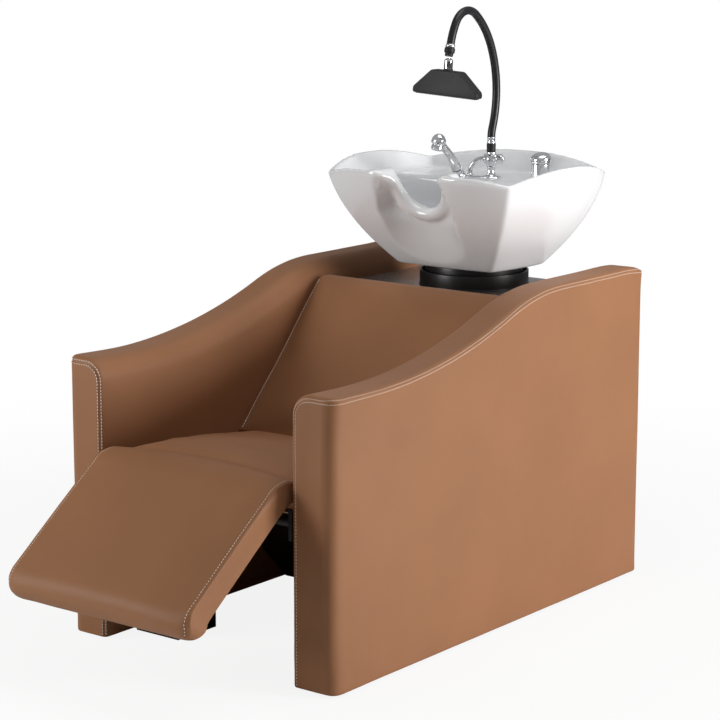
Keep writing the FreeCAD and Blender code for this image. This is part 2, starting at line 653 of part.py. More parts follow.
def make_arm(side, hand):
    """Core, cover, rail, bolts and glides of one side; hand is 1 on +X and -1 on -X."""
    outer = hand * size.overall_width / 2
    inner = hand * size.inner_half
    low = inner if hand > 0 else outer
    core_low = low + size.cover_thickness
    core_width = size.arm_thickness - 2 * size.cover_thickness
    core = padded_outline(
        f"core_{side}", "YZ_Plane", core_low, core_width,
        arm_corners(size.cover_thickness, size.cover_top), arm_radii(),
    )
    cover = padded_outline(
        f"cover_{side}", "YZ_Plane", low, size.arm_thickness, arm_corners(NONE, NONE), arm_radii(),
    )
    rounded(cover, size.arm_inner_round, lambda edge: runs_along_top(edge, inner))
    rounded(cover, size.arm_outer_round, lambda edge: runs_along_top(edge, outer))
    rounded(cover, size.arm_end_round, on_end_face)

    rail_low = size.rail_inner if hand > 0 else -size.between_half
    rail_outer = box(
        f"rail_block_{side}", (rail_low, size.rail_start, size.rail_bottom),
        (size.rail_width, size.rail_length, size.rail_height),
    )
    rail_bore = box(
        f"rail_bore_{side}",
        (
            rail_low + size.rail_wall,
            size.rail_start - size.cut_overrun,
            size.rail_bottom + size.rail_wall,
        ),
        (
            size.rail_width - 2 * size.rail_wall,
            size.rail_length + 2 * size.cut_overrun,
            size.rail_height - 2 * size.rail_wall,
        ),
    )
    holes = []
    bolt_length = size.rail_width + size.rail_bolt_reach
    for place, along in (
        ("front", size.rail_start + size.rail_bolt_inset),
        ("back", size.rail_start + size.rail_length - size.rail_bolt_inset),
    ):
        head_low = size.rail_inner - size.rail_bolt_head_height
        shank_low = size.rail_inner
        if hand < 0:
            head_low = -size.rail_inner
            shank_low = -(size.rail_inner + bolt_length)
        head = cross_rod(
            f"bolt_head_{side}_{place}", size.rail_bolt_head_radius, size.rail_bolt_head_height,
            (head_low, along, size.rail_bolt_height),
        )
        shank = cross_rod(
            f"bolt_shank_{side}_{place}", size.rail_bolt_radius, bolt_length,
            (shank_low, along, size.rail_bolt_height),
        )
        node(f"rail_bolt_{side}_{place}", fused(f"bolt_{side}_{place}", [head, shank]))
        holes.append(cross_rod(
            f"bolt_hole_{side}_{place}", size.rail_bolt_radius + size.running_gap,
            bolt_length + size.running_gap,
            (shank_low - (size.running_gap if hand < 0 else 0), along, size.rail_bolt_height),
        ))
    hole_set = fused(f"bolt_holes_{side}", holes)
    node(f"arm_core_{side}", without(f"core_bored_{side}", core, [hole_set]))
    node(f"arm_cover_{side}", without(f"cover_hollow_{side}", cover, [core, hole_set]))
    node(f"side_rail_{side}", without(f"rail_{side}", rail_outer, [rail_bore, hole_set]))

    middle = (outer + inner) / 2
    for place, along in (("front", size.glide_inset), ("back", size.arm_length - size.glide_inset)):
        glide = rod(f"glide_disc_{side}_{place}", size.glide_radius, size.ground_gap, (middle, along, NONE))
        node(f"glide_{side}_{place}", glide)


def cushion_ring(along, half, bulge, low, high, crown):
    """Section of a cushion: flat foot, swelling sides and a crowned top."""
    half, bulge, low, high, crown = (float(value) for value in (half, bulge, low, high, crown))
    along = float(along)
    middle = (low + high) / 2
    corners = [
        FreeCAD.Vector(-half, along, low),
        FreeCAD.Vector(half, along, low),
        FreeCAD.Vector(half, along, high),
        FreeCAD.Vector(-half, along, high),
    ]
    return Part.Wire([
        Part.LineSegment(corners[0], corners[1]).toShape(),
        Part.Arc(corners[1], FreeCAD.Vector(half + bulge, along, middle), corners[2]).toShape(),
        Part.Arc(corners[2], FreeCAD.Vector(0, along, high + crown), corners[3]).toShape(),
        Part.Arc(corners[3], FreeCAD.Vector(-half - bulge, along, middle), corners[0]).toShape(),
    ])


def cushion(sections):
    return Part.makeLoft([cushion_ring(*section) for section in sections], True, True)


def roll_face(half, end_radius, middle_radius, inner_radius, reach):
    """Half section of the legrest's rounded end, to be turned about the X axis."""
    half, end_radius, middle_radius, inner_radius, reach = (
        float(value) for value in (half, end_radius, middle_radius, inner_radius, reach)
    )
    top = Part.Arc(
        FreeCAD.Vector(half, 0, end_radius),
        FreeCAD.Vector(0, 0, middle_radius),
        FreeCAD.Vector(-half, 0, end_radius),
    ).toShape()
    corners = [
        FreeCAD.Vector(-half, 0, end_radius),
        FreeCAD.Vector(-reach, 0, end_radius),
        FreeCAD.Vector(-reach, 0, inner_radius),
        FreeCAD.Vector(reach, 0, inner_radius),
        FreeCAD.Vector(reach, 0, end_radius),
        FreeCAD.Vector(half, 0, end_radius),
    ]
    sides = [
        Part.LineSegment(start, end).toShape()
        for start, end in zip(corners, corners[1:])
        if (end - start).Length > 0
    ]
    return Part.Face(Part.Wire([top] + sides))


def make_seat():
    """Seat board and the seat cushion, which laps over the legrest's rounded end."""
    board_half = size.inner_half - size.seat_board_inset
    node("seat_board", box(
        "seat_board_blank", (-board_half, size.rail_start, size.rail_top),
        (2 * board_half, size.seat_board_back - size.rail_start, size.seat_board_thickness),
    ))
    half = size.between_half - size.seat_side_bulge
    bulge = size.seat_side_bulge
    front = size.pivot_along + size.roll_gap
    middle = size.seat_length * size.seat_middle_share
    back = size.seat_board_back + size.rail_height
    back_height = size.seat_back_height - (size.seat_middle_height - size.seat_back_height) / 2
    loft = made("seat_loft", cushion([
        (front, half, bulge, size.seat_top, size.seat_front_height, size.seat_front_crown),
        (size.rail_start, half, bulge, size.seat_top, size.seat_front_height, size.seat_middle_crown),
        (middle, half, bulge, size.seat_top, size.seat_middle_height, size.seat_middle_crown),
        (size.seat_length, half, bulge, size.seat_top, size.seat_back_height, size.seat_back_crown),
        (back, half, bulge, size.seat_top, back_height, size.seat_back_crown),
    ]))
    roll_room = made(
        "roll_room",
        roll_face(
            size.legrest_half_width + size.roll_gap, size.roll_end_radius + size.roll_gap,
            size.roll_radius + size.roll_gap, NONE, size.inner_half + size.cut_overrun,
        ).revolve(FreeCAD.Vector(0, 0, 0), ACROSS, 360),
        size.pivot_along, size.pivot_height,
    )
    depth = 2 * size.back_cushion_thickness
    back_room = box(
        "back_room", (NONE, NONE, NONE), (2 * size.inner_half, size.back_length, 2 * depth),
    )
    set_place(
        back_room, -size.inner_half,
        size.seat_length - size.soft_gap * cosine(size.back_angle) + depth * sine(size.back_angle),
        size.seat_back_height - size.soft_gap * sine(size.back_angle) - depth * cosine(size.back_angle),
        ACROSS, size.back_angle,
    )
    node("seat_cushion", without("seat_cushion_cut", loft, [roll_room, back_room]))


def make_backrest():
    """Backrest board and cushion, drawn lying flat and then leaned back."""
    foot = (size.seat_length, size.seat_back_height)
    half = size.between_half - size.back_side_bulge
    bulge = size.back_side_bulge
    low = -size.back_cushion_thickness
    top = size.back_length
    shoulder = top - size.back_top_round
    sections = [
        (NONE, half, bulge, low, NONE, size.back_crown / 2),
        (top * size.back_swell_share, half, bulge, low, NONE, size.back_crown),
    ]
    for share in ROUND_SHARES:
        drawn_in = size.back_top_round * closing_share(share)
        sections.append((
            shoulder + size.back_top_round * share,
            half - drawn_in,
            bulge,
            low + drawn_in / 2,
            -drawn_in,
            size.back_crown * (1 - share / 2),
        ))
    loft = cushion(sections)
    node("backrest_cushion", made("backrest_loft", loft, *foot, ACROSS, size.back_angle))
    board_half = size.inner_half - size.back_board_inset
    board_low = -size.back_cushion_thickness - size.back_board_thickness
    start = size.back_board_start
    board = box(
        "backrest_board_blank", (NONE, NONE, NONE),
        (2 * board_half, size.back_length - size.back_board_top_gap - start, size.back_board_thickness),
    )
    set_place(
        board, -board_half,
        foot[0] + start * cosine(size.back_angle) - board_low * sine(size.back_angle),
        foot[1] + start * sine(size.back_angle) + board_low * cosine(size.back_angle),
        ACROSS, size.back_angle,
    )
    node("backrest_board", board)
    behind = size.soft_gap + size.back_tube_radius - board_low
    tube_place = (
        -size.between_half,
        foot[0] + size.back_tube_place * cosine(size.back_angle) + behind * sine(size.back_angle),
        foot[1] + size.back_tube_place * sine(size.back_angle) - behind * cosine(size.back_angle),
    )
    outside = cross_rod("back_tube_outside", size.back_tube_radius, 2 * size.between_half, tube_place)
    inside = cross_rod(
        "back_tube_inside", size.back_tube_radius - size.rail_wall,
        2 * (size.between_half + size.cut_overrun),
        (-size.between_half - size.cut_overrun, tube_place[1], tube_place[2]),
    )
    node("back_cross_tube", without("back_tube", outside, [inside]))


def make_underframe():
    """Cross tube, slanted panel and control box under the seat."""
    fall = size.belly_thickness * cosine(size.belly_angle)
    panel_top = size.rail_bottom - size.soft_gap - fall
    panel_start = size.belly_start
    tube_size = size.rail_height
    tube = box(
        "seat_tube_block", (-size.rail_inner, panel_start, size.rail_bottom),
        (2 * size.rail_inner, tube_size, tube_size),
    )
    bore = box(
        "seat_tube_bore",
        (
            -size.rail_inner - size.cut_overrun,
            panel_start + size.rail_wall,
            size.rail_bottom + size.rail_wall,
        ),
        (
            2 * (size.rail_inner + size.cut_overrun),
            tube_size - 2 * size.rail_wall,
            tube_size - 2 * size.rail_wall,
        ),
    )
    node("seat_cross_tube", without("seat_tube", tube, [bore]))
    panel = box(
        "belly_panel_blank", (NONE, NONE, NONE),
        (
            2 * size.between_half,
            (panel_top - size.ground_gap) / sine(size.belly_angle),
            size.belly_thickness,
        ),
    )
    set_place(panel, -size.between_half, panel_start, panel_top, ACROSS, -size.belly_angle)
    node("belly_panel", panel)

    body = box(
        "box_block", (-size.between_half, size.box_start, NONE),
        (size.box_width, size.box_depth, size.box_height),
    )
    hollow = box(
        "box_hollow",
        (-size.between_half + size.box_wall, size.box_start + size.box_wall, size.box_wall),
        (
            size.box_width - 2 * size.box_wall,
            size.box_depth - 2 * size.box_wall,
            size.box_height,
        ),
    )
    node("control_box", without("box_shell", body, [hollow]))
    node("control_box_lid", box(
        "box_lid", (-size.between_half, size.box_start, size.box_height),
        (size.box_width, size.box_depth, size.box_lid_height),
    ))


def make_pivot():
    """Shaft of the legrest and the two brackets that hold it."""
    shaft_half = size.between_half - size.soft_gap
    node("legrest_shaft", cross_rod(
        "shaft_bar", size.shaft_radius, 2 * shaft_half,
        (-shaft_half, size.pivot_along, size.pivot_height),
    ))
    plate_inner = size.between_half - size.bracket_thickness
    for side, hand in (("near", 1), ("far", -1)):
        plate_low = plate_inner if hand > 0 else -size.between_half
        boss_low = plate_inner - size.boss_length if hand > 0 else -plate_inner
        plate = box(
            f"bracket_plate_{side}",
            (plate_low, size.pivot_along - size.bracket_half, size.pivot_height - size.bracket_half),
            (size.bracket_thickness, 2 * size.bracket_half, 2 * size.bracket_half),
        )
        boss = cross_rod(
            f"bracket_boss_{side}", size.boss_radius, size.boss_length,
            (boss_low, size.pivot_along, size.pivot_height),
        )
        bore_low = boss_low if hand > 0 else plate_low
        bore = cross_rod(
            f"bracket_bore_{side}", size.shaft_radius + size.running_gap,
            size.boss_length + size.bracket_thickness + 2 * size.cut_overrun,
            (bore_low - size.cut_overrun, size.pivot_along, size.pivot_height),
        )
        solid = fused(f"bracket_solid_{side}", [plate, boss])
        node(f"shaft_bracket_{side}", without(f"bracket_{side}", solid, [bore]))


def make_legrest():
    """Legrest, drawn level with its shaft at the origin and then let down."""
    place = (size.pivot_along, size.pivot_height, ACROSS, size.legrest_drop)
    half = size.legrest_half_width - size.legrest_side_bulge
    bulge = size.legrest_side_bulge
    low = size.legrest_under
    high = size.legrest_top
    nose = size.legrest_length - size.legrest_nose
    closing = size.legrest_nose_drop
    sections = [(NONE, half, bulge, low, high, size.legrest_crown)]
    for share in ROUND_SHARES:
        drawn_in = closing * closing_share(share)
        sections.append((
            -nose - size.legrest_nose * share,
            half - bulge * closing_share(share),
            bulge,
            low + drawn_in,
            high - drawn_in,
            size.legrest_crown * (1 - share / 2),
        ))
    pad = cushion(sections)
    roll = roll_face(
        half, size.roll_end_radius, size.roll_radius, size.legrest_under, half,
    ).revolve(FreeCAD.Vector(0, 0, 0), ACROSS, -float(size.roll_sweep))
    node("legrest_cushion", made("legrest_pad", pad.fuse(roll).removeSplitter(), *place))

    board_half = half - size.legrest_board_inset
    board_length = size.legrest_length - 2 * size.legrest_board_inset
    board_low = size.legrest_under - size.legrest_board_thickness
    reach = size.legrest_board_inset + board_length
    board = box(
        "legrest_board_blank", (NONE, NONE, NONE),
        (2 * board_half, board_length, size.legrest_board_thickness),
    )
    set_place(
        board, -board_half,
        size.pivot_along - reach * cosine(size.legrest_drop) - board_low * sine(size.legrest_drop),
        size.pivot_height - reach * sine(size.legrest_drop) + board_low * cosine(size.legrest_drop),
        ACROSS, size.legrest_drop,
    )
    node("legrest_board", board)

    tube_half = size.between_half - size.bracket_thickness - size.boss_length - size.side_play
    tube = cross_rod("pivot_tube", size.pivot_tube_radius, 2 * tube_half, (-tube_half, NONE, NONE))
    arm_low = board_low - size.hinge_arm_height
    arms = []
    for side, hand in (("near", 1), ("far", -1)):
        middle = hand * size.hinge_arm_place
        arms.append(box(
            f"hinge_arm_{side}", (middle - size.hinge_arm_width / 2, -size.hinge_arm_length, arm_low),
            (size.hinge_arm_width, size.hinge_arm_length, size.hinge_arm_height),
        ))
    bore = cross_rod(
        "pivot_bore", size.shaft_radius + size.running_gap, 2 * (tube_half + size.cut_overrun),
        (-tube_half - size.cut_overrun, NONE, NONE),
    )
    hinge = without("hinge", fused("hinge_solid", [tube] + arms), [bore])
    set_place(hinge, NONE, *place)
    node("legrest_hinge", hinge)


def make_shelf():
    """Shelf behind the backrest, its cleats and the back panel."""
    angle = size.back_angle
    top_along = size.seat_length + size.back_length * cosine(angle) + size.shelf_gap / cosine(angle)
    top_height = size.seat_back_height + size.back_length * sine(angle)
    edge_top = top_along + (top_height - size.shelf_height) * tangent(angle)
    edge_low = edge_top + size.shelf_thickness * tangent(angle)
    board = padded_outline(
        "shelf_board", "YZ_Plane", -size.between_half, 2 * size.between_half,
        [
            (edge_low, size.shelf_bottom),
            (size.arm_length, size.shelf_bottom),
            (size.arm_length, size.shelf_height),
            (edge_top, size.shelf_height),
        ],
    )
    hole = rod(
        "shelf_hole", size.shelf_hole_radius, size.shelf_thickness + 2 * size.cut_overrun,
        (NONE, size.ring_along, size.shelf_bottom - size.cut_overrun),
    )
    node("shelf_top", without("shelf_bored", board, [hole]))
    for side, hand in (("near", 1), ("far", -1)):
        low = size.between_half - size.cleat_size if hand > 0 else -size.between_half
        node(f"shelf_cleat_{side}", box(
            f"cleat_{side}", (low, size.cleat_start, size.shelf_bottom - size.cleat_size),
            (size.cleat_size, size.panel_front - size.cleat_start, size.cleat_size),
        ))
    node("rear_panel", box(
        "rear_panel_blank", (-size.between_half, size.panel_front, size.panel_bottom),
        (2 * size.between_half, size.panel_thickness, size.shelf_bottom - size.panel_bottom),
    ))


def make_ring():
    """Ring on the shelf and the collar that tilts in it on two pins."""
    centre = (NONE, size.ring_along)
    outside = rod("ring_outside", size.ring_radius, size.ring_height, (*centre, size.shelf_height))
    inside = rod(
        "ring_inside", size.ring_radius - size.ring_wall, size.ring_height + 2 * size.cut_overrun,
        (*centre, size.shelf_height - size.cut_overrun),
    )
    pin_holes = cross_rod(
        "ring_pin_holes", size.tilt_pin_radius + size.running_gap, 2 * (size.ring_radius + size.cut_overrun),
        (-size.ring_radius - size.cut_overrun, size.ring_along, size.tilt_pin_height),
    )
    node("basin_ring", without("ring", outside, [inside, pin_holes]))

    skirt_bottom = size.basin_bottom - size.collar_wall - size.collar_skirt
    skirt_height = size.collar_skirt + size.collar_wall
    shell = rod("collar_outside", size.collar_radius, skirt_height, (*centre, skirt_bottom))
    room = rod(
        "collar_inside", size.collar_radius - size.collar_wall, size.collar_skirt + size.cut_overrun,
        (*centre, skirt_bottom - size.cut_overrun),
    )
    drain_hole = rod(
        "collar_drain_hole", size.drain_radius + size.drain_gap, 2 * skirt_height,
        (NONE, size.drain_along, skirt_bottom),
    )
    collar_holes = cross_rod(
        "collar_pin_holes", size.tilt_pin_radius + size.running_gap,
        2 * (size.ring_radius + size.cut_overrun),
        (-size.ring_radius - size.cut_overrun, size.ring_along, size.tilt_pin_height),
    )
    supply_hole = rod(
        "collar_supply_hole", size.pocket_depth / 2, 2 * skirt_height,
        (NONE, size.pocket_front + size.pocket_depth / 2, skirt_bottom),
    )
    node("tilt_collar", without("collar", shell, [room, drain_hole, collar_holes, supply_hole]))

    pin_inner = size.collar_radius - size.collar_wall - size.tilt_pin_reach
    for side, hand in (("near", 1), ("far", -1)):
        low = pin_inner if hand > 0 else -size.ring_radius
        node(f"tilt_pin_{side}", cross_rod(
            f"pin_{side}", size.tilt_pin_radius, size.ring_radius - pin_inner,
            (low, size.ring_along, size.tilt_pin_height),
        ))


def basin_ring_wire(height, front_half, back_half, front, back, bulges):
    """Four-sided outline of the basin at one height; its sides are shallow arcs."""
    front_half, back_half, front, back, height = (
        float(value) for value in (front_half, back_half, front, back, height)
    )
    front_bulge, side_bulge, back_bulge = (float(bulge) for bulge in bulges)
    corners = [
        FreeCAD.Vector(-front_half, front, height),
        FreeCAD.Vector(front_half, front, height),
        FreeCAD.Vector(back_half, back, height),
        FreeCAD.Vector(-back_half, back, height),
    ]
    side = (front_half + back_half) / 2 + side_bulge
    middle = (front + back) / 2
    passing = [
        FreeCAD.Vector(0, front - front_bulge, height),
        FreeCAD.Vector(side, middle, height),
        FreeCAD.Vector(0, back + back_bulge, height),
        FreeCAD.Vector(-side, middle, height),
    ]
    return Part.Wire([
        Part.Arc(corners[place], passing[place], corners[(place + 1) % 4]).toShape()
        for place in range(4)
    ])


def wall_outline(height, inset, back=None, back_bulge=None):
    """Outline of the basin's walls at a height, drawn in by an inset."""
    share = (height - size.basin_bottom) / size.basin_loft_height
    rise = (height - size.basin_bottom) / (size.rim_corner_height - size.basin_bottom)
    outwards = 4 * rise * (1 - rise) * size.basin_swell - inset

    def between(low, high):
        return low + (high - low) * share

    if back is None:
        back = between(size.basin_back, size.basin_top_back) + outwards
        back_bulge = between(size.basin_foot_bulge, size.basin_back_bulge)
    return basin_ring_wire(
        height,
        between(size.basin_front_half, size.basin_top_front_half) + outwards,
        between(size.basin_back_half, size.basin_top_back_half) + outwards,
        between(size.basin_front, size.basin_top_front) - outwards,
        back,
        (
            between(size.basin_foot_bulge, size.basin_front_bulge),
            between(size.basin_foot_bulge, size.basin_side_bulge),
            back_bulge,
        ),
    )


def levels_between(low, high):
    """Heights of the outlines that a curved wall is drawn through."""
    return [low + (high - low) * step / WALL_STEPS for step in range(WALL_STEPS + 1)]


def neck_hollow(name, depth):
    """Room in front of the hollow that the neck notch stands over, and a depth behind it."""
    top = size.basin_bottom + size.basin_loft_height + size.cut_overrun
    rings = []
    for height, middle, edge in (
        (size.basin_bottom - size.cut_overrun, size.neck_foot_along, size.neck_foot_edge),
        (size.neck_low_height, size.neck_low_along, size.neck_low_edge),
        (size.neck_high_height, size.neck_high_along, size.neck_high_edge),
        (top, size.neck_high_along, size.neck_high_edge),
    ):
        half = size.neck_half + depth
        ends = (point(-half, edge + depth, height), point(half, edge + depth, height))
        corners = (point(half, size.notch_start, height), point(-half, size.notch_start, height))
        rings.append(Part.Wire([
            Part.Arc(ends[0], point(NONE, middle + depth, height), ends[1]).toShape(),
            Part.makeLine(ends[1], corners[0]),
            Part.makeLine(corners[0], corners[1]),
            Part.makeLine(corners[1], ends[0]),
        ]))
    return made(name, Part.makeLoft(rings, True, True))


def notch_lip():
    """Round lip along the edge of the neck notch."""
    steps = (
        (size.lip_end_across, size.lip_end_along, size.lip_end_height),
        (size.lip_side_across, size.lip_side_along, size.lip_side_height),
        (size.lip_low_across, size.lip_low_along, size.lip_low_height),
    )
    through = [point(-across, along, height) for across, along, height in steps]
    through.append(point(NONE, size.lip_along, size.lip_height))
    through.extend(point(across, along, height) for across, along, height in reversed(steps))
    line = Part.BSplineCurve()
    line.interpolate(through)
    path = Part.Wire(line.toShape())
    heading = line.tangent(line.FirstParameter)[0]
    circle = Part.Wire(Part.makeCircle(float(size.lip_radius), through[0], heading))
    ends = [Part.makeSphere(float(size.lip_radius), place) for place in (through[0], through[-1])]
    return made("notch_lip", path.makePipeShell([circle], True, False).fuse(ends))


def make_basin():
    """Ceramic basin: curved walls and rim, bowl, tap ledge, neck notch and its lip."""
    loft_top = size.basin_bottom + size.basin_loft_height
    walls = made("basin_walls", Part.makeLoft(
        [wall_outline(height, NONE) for height in levels_between(size.basin_bottom, loft_top)], True, False,
    ))
    rise = size.rim_rise
    across_radius = (size.rim_half * size.rim_half + rise * rise) / (2 * rise)
    rim_depth = (size.rim_back - size.rim_front) / 2
    along_radius = (rim_depth * rim_depth + rise * rise) / (2 * rise)
    foot = size.basin_bottom - size.cut_overrun
    reach = size.rim_half + size.arm_thickness
    front_end = size.rim_front - size.arm_thickness
    back_end = size.rim_back + size.arm_thickness
    over_sides = padded_outline(
        "rim_over_sides", "YZ_Plane", -reach, 2 * reach,
        [
            (front_end, foot),
            (back_end, foot),
            (back_end, size.rim_corner_height),
            (size.rim_back, size.rim_corner_height),
            (size.rim_front, size.rim_corner_height),
            (front_end, size.rim_corner_height),
        ],
        {3: along_radius},
    )
    over_ends = padded_outline(
        "rim_over_ends", "XZ_Plane", -back_end, back_end - front_end,
        [
            (-reach, foot),
            (reach, foot),
            (reach, size.rim_corner_height),
            (size.rim_half, size.rim_corner_height),
            (-size.rim_half, size.rim_corner_height),
            (-reach, size.rim_corner_height),
        ],
        {3: across_radius},
    )
    under_rim = fused("under_rim", [over_sides, over_ends])
    blank = doc.addObject("Part::Common", "basin_blank")
    blank.Base = walls
    blank.Tool = under_rim

    above = loft_top + size.cut_overrun
    upper = made("upper_room", Part.makeLoft(
        [wall_outline(height, size.basin_wall) for height in levels_between(size.deck_height, above)],
        True, False,
    ))
    bowl_floor = size.basin_bottom + size.basin_floor
    bowl_top = size.deck_height + size.cut_overrun
    slope = (size.deck_front - size.bowl_floor_back) / (bowl_top - bowl_floor)
    bowl = made("bowl_room", Part.makeLoft(
        [
            wall_outline(
                height, size.basin_wall,
                size.bowl_floor_back + (height - bowl_floor) * slope, size.bowl_bulge,
            )
            for height in levels_between(bowl_floor, bowl_top)
        ],
        True, False,
    ))
    rooms = fused("basin_rooms", [upper, bowl])
    room = without("basin_room", rooms, [neck_hollow("neck_wall", size.basin_wall)])
    notch = padded_outline(
        "neck_notch", "XZ_Plane", -size.notch_start - size.notch_reach, size.notch_reach,
        [
            (-size.notch_low_half, size.notch_low_height),
            (size.notch_low_half, size.notch_low_height),
            (size.notch_half, above),
            (-size.notch_half, above),
        ],
        {0: (
            size.notch_low_half * size.notch_low_half
            + (size.notch_low_height - size.notch_bottom) * (size.notch_low_height - size.notch_bottom)
        ) / (2 * (size.notch_low_height - size.notch_bottom))},
    )
    pocket_low = size.basin_bottom - size.cut_overrun
    pocket_top = size.deck_height - size.deck_thickness
    pocket_rings = []
    for height, half, depth in (
        (pocket_low, size.pocket_half, size.pocket_depth),
        (pocket_top, size.pocket_top_half, size.pocket_top_depth),
    ):
        front = size.pocket_front
        back = size.pocket_front + depth
        pocket_rings.append(Part.makePolygon([
            point(-half, front, height),
            point(half, front, height),
            point(half, back, height),
            point(-half, back, height),
            point(-half, front, height),
        ]))
    pocket = made("tap_pocket", Part.makeLoft(pocket_rings, True, True))
    holes = [rod(
        "basin_drain_hole", size.drain_radius + size.drain_gap, 2 * size.basin_floor,
        (NONE, size.drain_along, size.basin_bottom - size.basin_floor / 2),
    )]
    for name, across, along in (
        ("valve", NONE, size.tap_along),
        ("shower", size.shower_across, size.shower_along),
        ("mixer", size.mixer_across, size.mixer_along),
    ):
        holes.append(rod(
            f"{name}_hole", size.shank_radius + size.shank_gap, 2 * size.deck_thickness,
            (across, along, size.deck_height - 3 * size.deck_thickness / 2),
        ))
    hollow = neck_hollow("neck_hollow", NONE)
    bowl_body = without("basin_cut", blank, [room, notch, hollow, pocket] + holes)
    node("basin", fused("basin_whole", [bowl_body, notch_lip()]))


def make_drain():
    """Strainer with its threaded body, the nut under the collar and the tail."""
    floor = size.basin_bottom + size.basin_floor
    centre = (NONE, size.drain_along)
    body_bottom = floor - size.drain_body_length
    flange = rod("strainer_flange", size.strainer_radius, size.strainer_height, (*centre, floor))
    body = rod("strainer_body", size.drain_radius, size.drain_body_length, (*centre, body_bottom))
    bore = rod(
        "strainer_bore", size.drain_bore_radius, size.drain_body_length,
        (*centre, body_bottom - size.strainer_height),
    )
    holes = []
    for turn in range(STRAINER_HOLES):
        angle = 2 * HALF_TURN * turn / STRAINER_HOLES
        holes.append(rod(
            f"strainer_hole_{turn}", size.strainer_hole_radius, size.drain_body_length,
            (
                size.strainer_ring_radius * cosine(angle),
                size.drain_along + size.strainer_ring_radius * sine(angle),
                floor - size.drain_body_length / 2,
            ),
        ))
    strainer = fused("strainer_solid", [flange, body])
    node("drain_strainer", without("strainer", strainer, [bore] + holes))

    nut_top = size.basin_bottom - size.collar_wall
    nut = many_sided(
        "nut_blank", 6, size.drain_nut_radius, size.drain_nut_height,
        (*centre, nut_top - size.drain_nut_height),
    )
    nut_hole = rod(
        "nut_hole", size.drain_radius + size.running_gap, 2 * size.drain_nut_height,
        (*centre, nut_top - 3 * size.drain_nut_height / 2),
    )
    node("drain_nut", without("nut", nut, [nut_hole]))

    outside = rod(
        "tail_outside", size.tail_radius, size.tail_length, (*centre, body_bottom - size.tail_length),
    )
    inside = rod(
        "tail_inside", size.drain_bore_radius, size.tail_length + 2 * size.cut_overrun,
        (*centre, body_bottom - size.tail_length - size.cut_overrun),
    )
    node("drain_tail", without("tail", outside, [inside]))


def make_spray_valve():
    """Flanged stem, valve body and knob under the spray arm."""
    centre = (NONE, size.tap_along)
    deck = size.deck_height
    shank = rod("valve_shank", size.shank_radius, size.shank_length, (*centre, deck - size.shank_length))
    flange = rod("valve_flange", size.tap_flange_radius, size.tap_flange_height, (*centre, deck))
    stem = rod("valve_stem_bar", size.tap_stem_radius, size.tap_stem_top - deck, (*centre, deck))
    plate = box(
        "valve_plate",
        (NONE, NONE, NONE),
        (size.plate_length, size.tap_plate_width, size.tap_plate_height),
    )
    set_place(
        plate,
        size.tap_plate_width / 2 * sine(size.link_heading),
        size.tap_along - size.tap_plate_width / 2 * cosine(size.link_heading),
        deck, UP, size.link_heading,
    )
    node("valve_stem", fused("stem_solid", [shank, flange, stem, plate]))

    height = size.valve_barrel_height
    upright = rod(
        "valve_upright", size.valve_radius, size.valve_top - size.tap_stem_top,
        (NONE, NONE, size.tap_stem_top),
    )
    barrel = cross_rod(
        "valve_barrel", size.valve_barrel_radius, size.valve_pipe_reach + size.valve_knob_reach,
        (-size.valve_knob_reach, NONE, height),
    )
    swivel_bore = rod(
        "valve_swivel_bore", size.swivel_radius + size.running_gap, size.swivel_length + size.cut_overrun,
        (NONE, NONE, size.valve_top - size.swivel_length),
    )
    spindle_bore = cross_rod(
        "valve_spindle_bore", size.spindle_radius + size.running_gap, size.spindle_length + size.cut_overrun,
        (-size.valve_knob_reach - size.cut_overrun, NONE, height),
    )
    solid = fused("valve_solid", [upright, barrel])
    valve = without("valve", solid, [swivel_bore, spindle_bore])
    node("valve_body", set_place(valve, *centre, NONE, UP, size.link_heading))

    knob_low = -size.valve_knob_reach - size.swivel_gap - size.knob_length
    grip = many_sided(
        "knob_blank", 8, size.knob_radius, size.knob_length, (knob_low, NONE, height), ALONG, QUARTER,
    )
    spindle = cross_rod(
        "knob_spindle", size.spindle_radius, size.spindle_length,
        (knob_low + size.knob_length, NONE, height),
    )
    knob = fused("knob", [grip, spindle])
    node("valve_knob", set_place(knob, *centre, NONE, UP, size.link_heading))


def make_link_pipe():
    """Bent pipe from the valve body down to the plate beside the hand shower."""
    start = float(size.valve_pipe_reach)
    bend = float(size.pipe_bend_radius)
    fall = float(size.valve_barrel_height - size.deck_height - size.tap_plate_height)
    bore_start = FreeCAD.Vector(start, 0, 0)
    corner = FreeCAD.Vector(start + bend * math.sin(math.pi / 4), 0, bend * (math.cos(math.pi / 4) - 1))
    turned = FreeCAD.Vector(start + bend, 0, -bend)
    foot = FreeCAD.Vector(start + bend, 0, -fall)
    path = Part.Wire([
        Part.Arc(bore_start, corner, turned).toShape(),
        Part.LineSegment(turned, foot).toShape(),
    ])
    section = Part.Wire([Part.Circle(bore_start, ACROSS, float(size.pipe_radius)).toShape()])
    pipe = path.makePipeShell([section], True, False)
    node("link_pipe", made(
        "pipe", pipe, size.tap_along, size.valve_barrel_height, UP, size.link_heading,
    ))


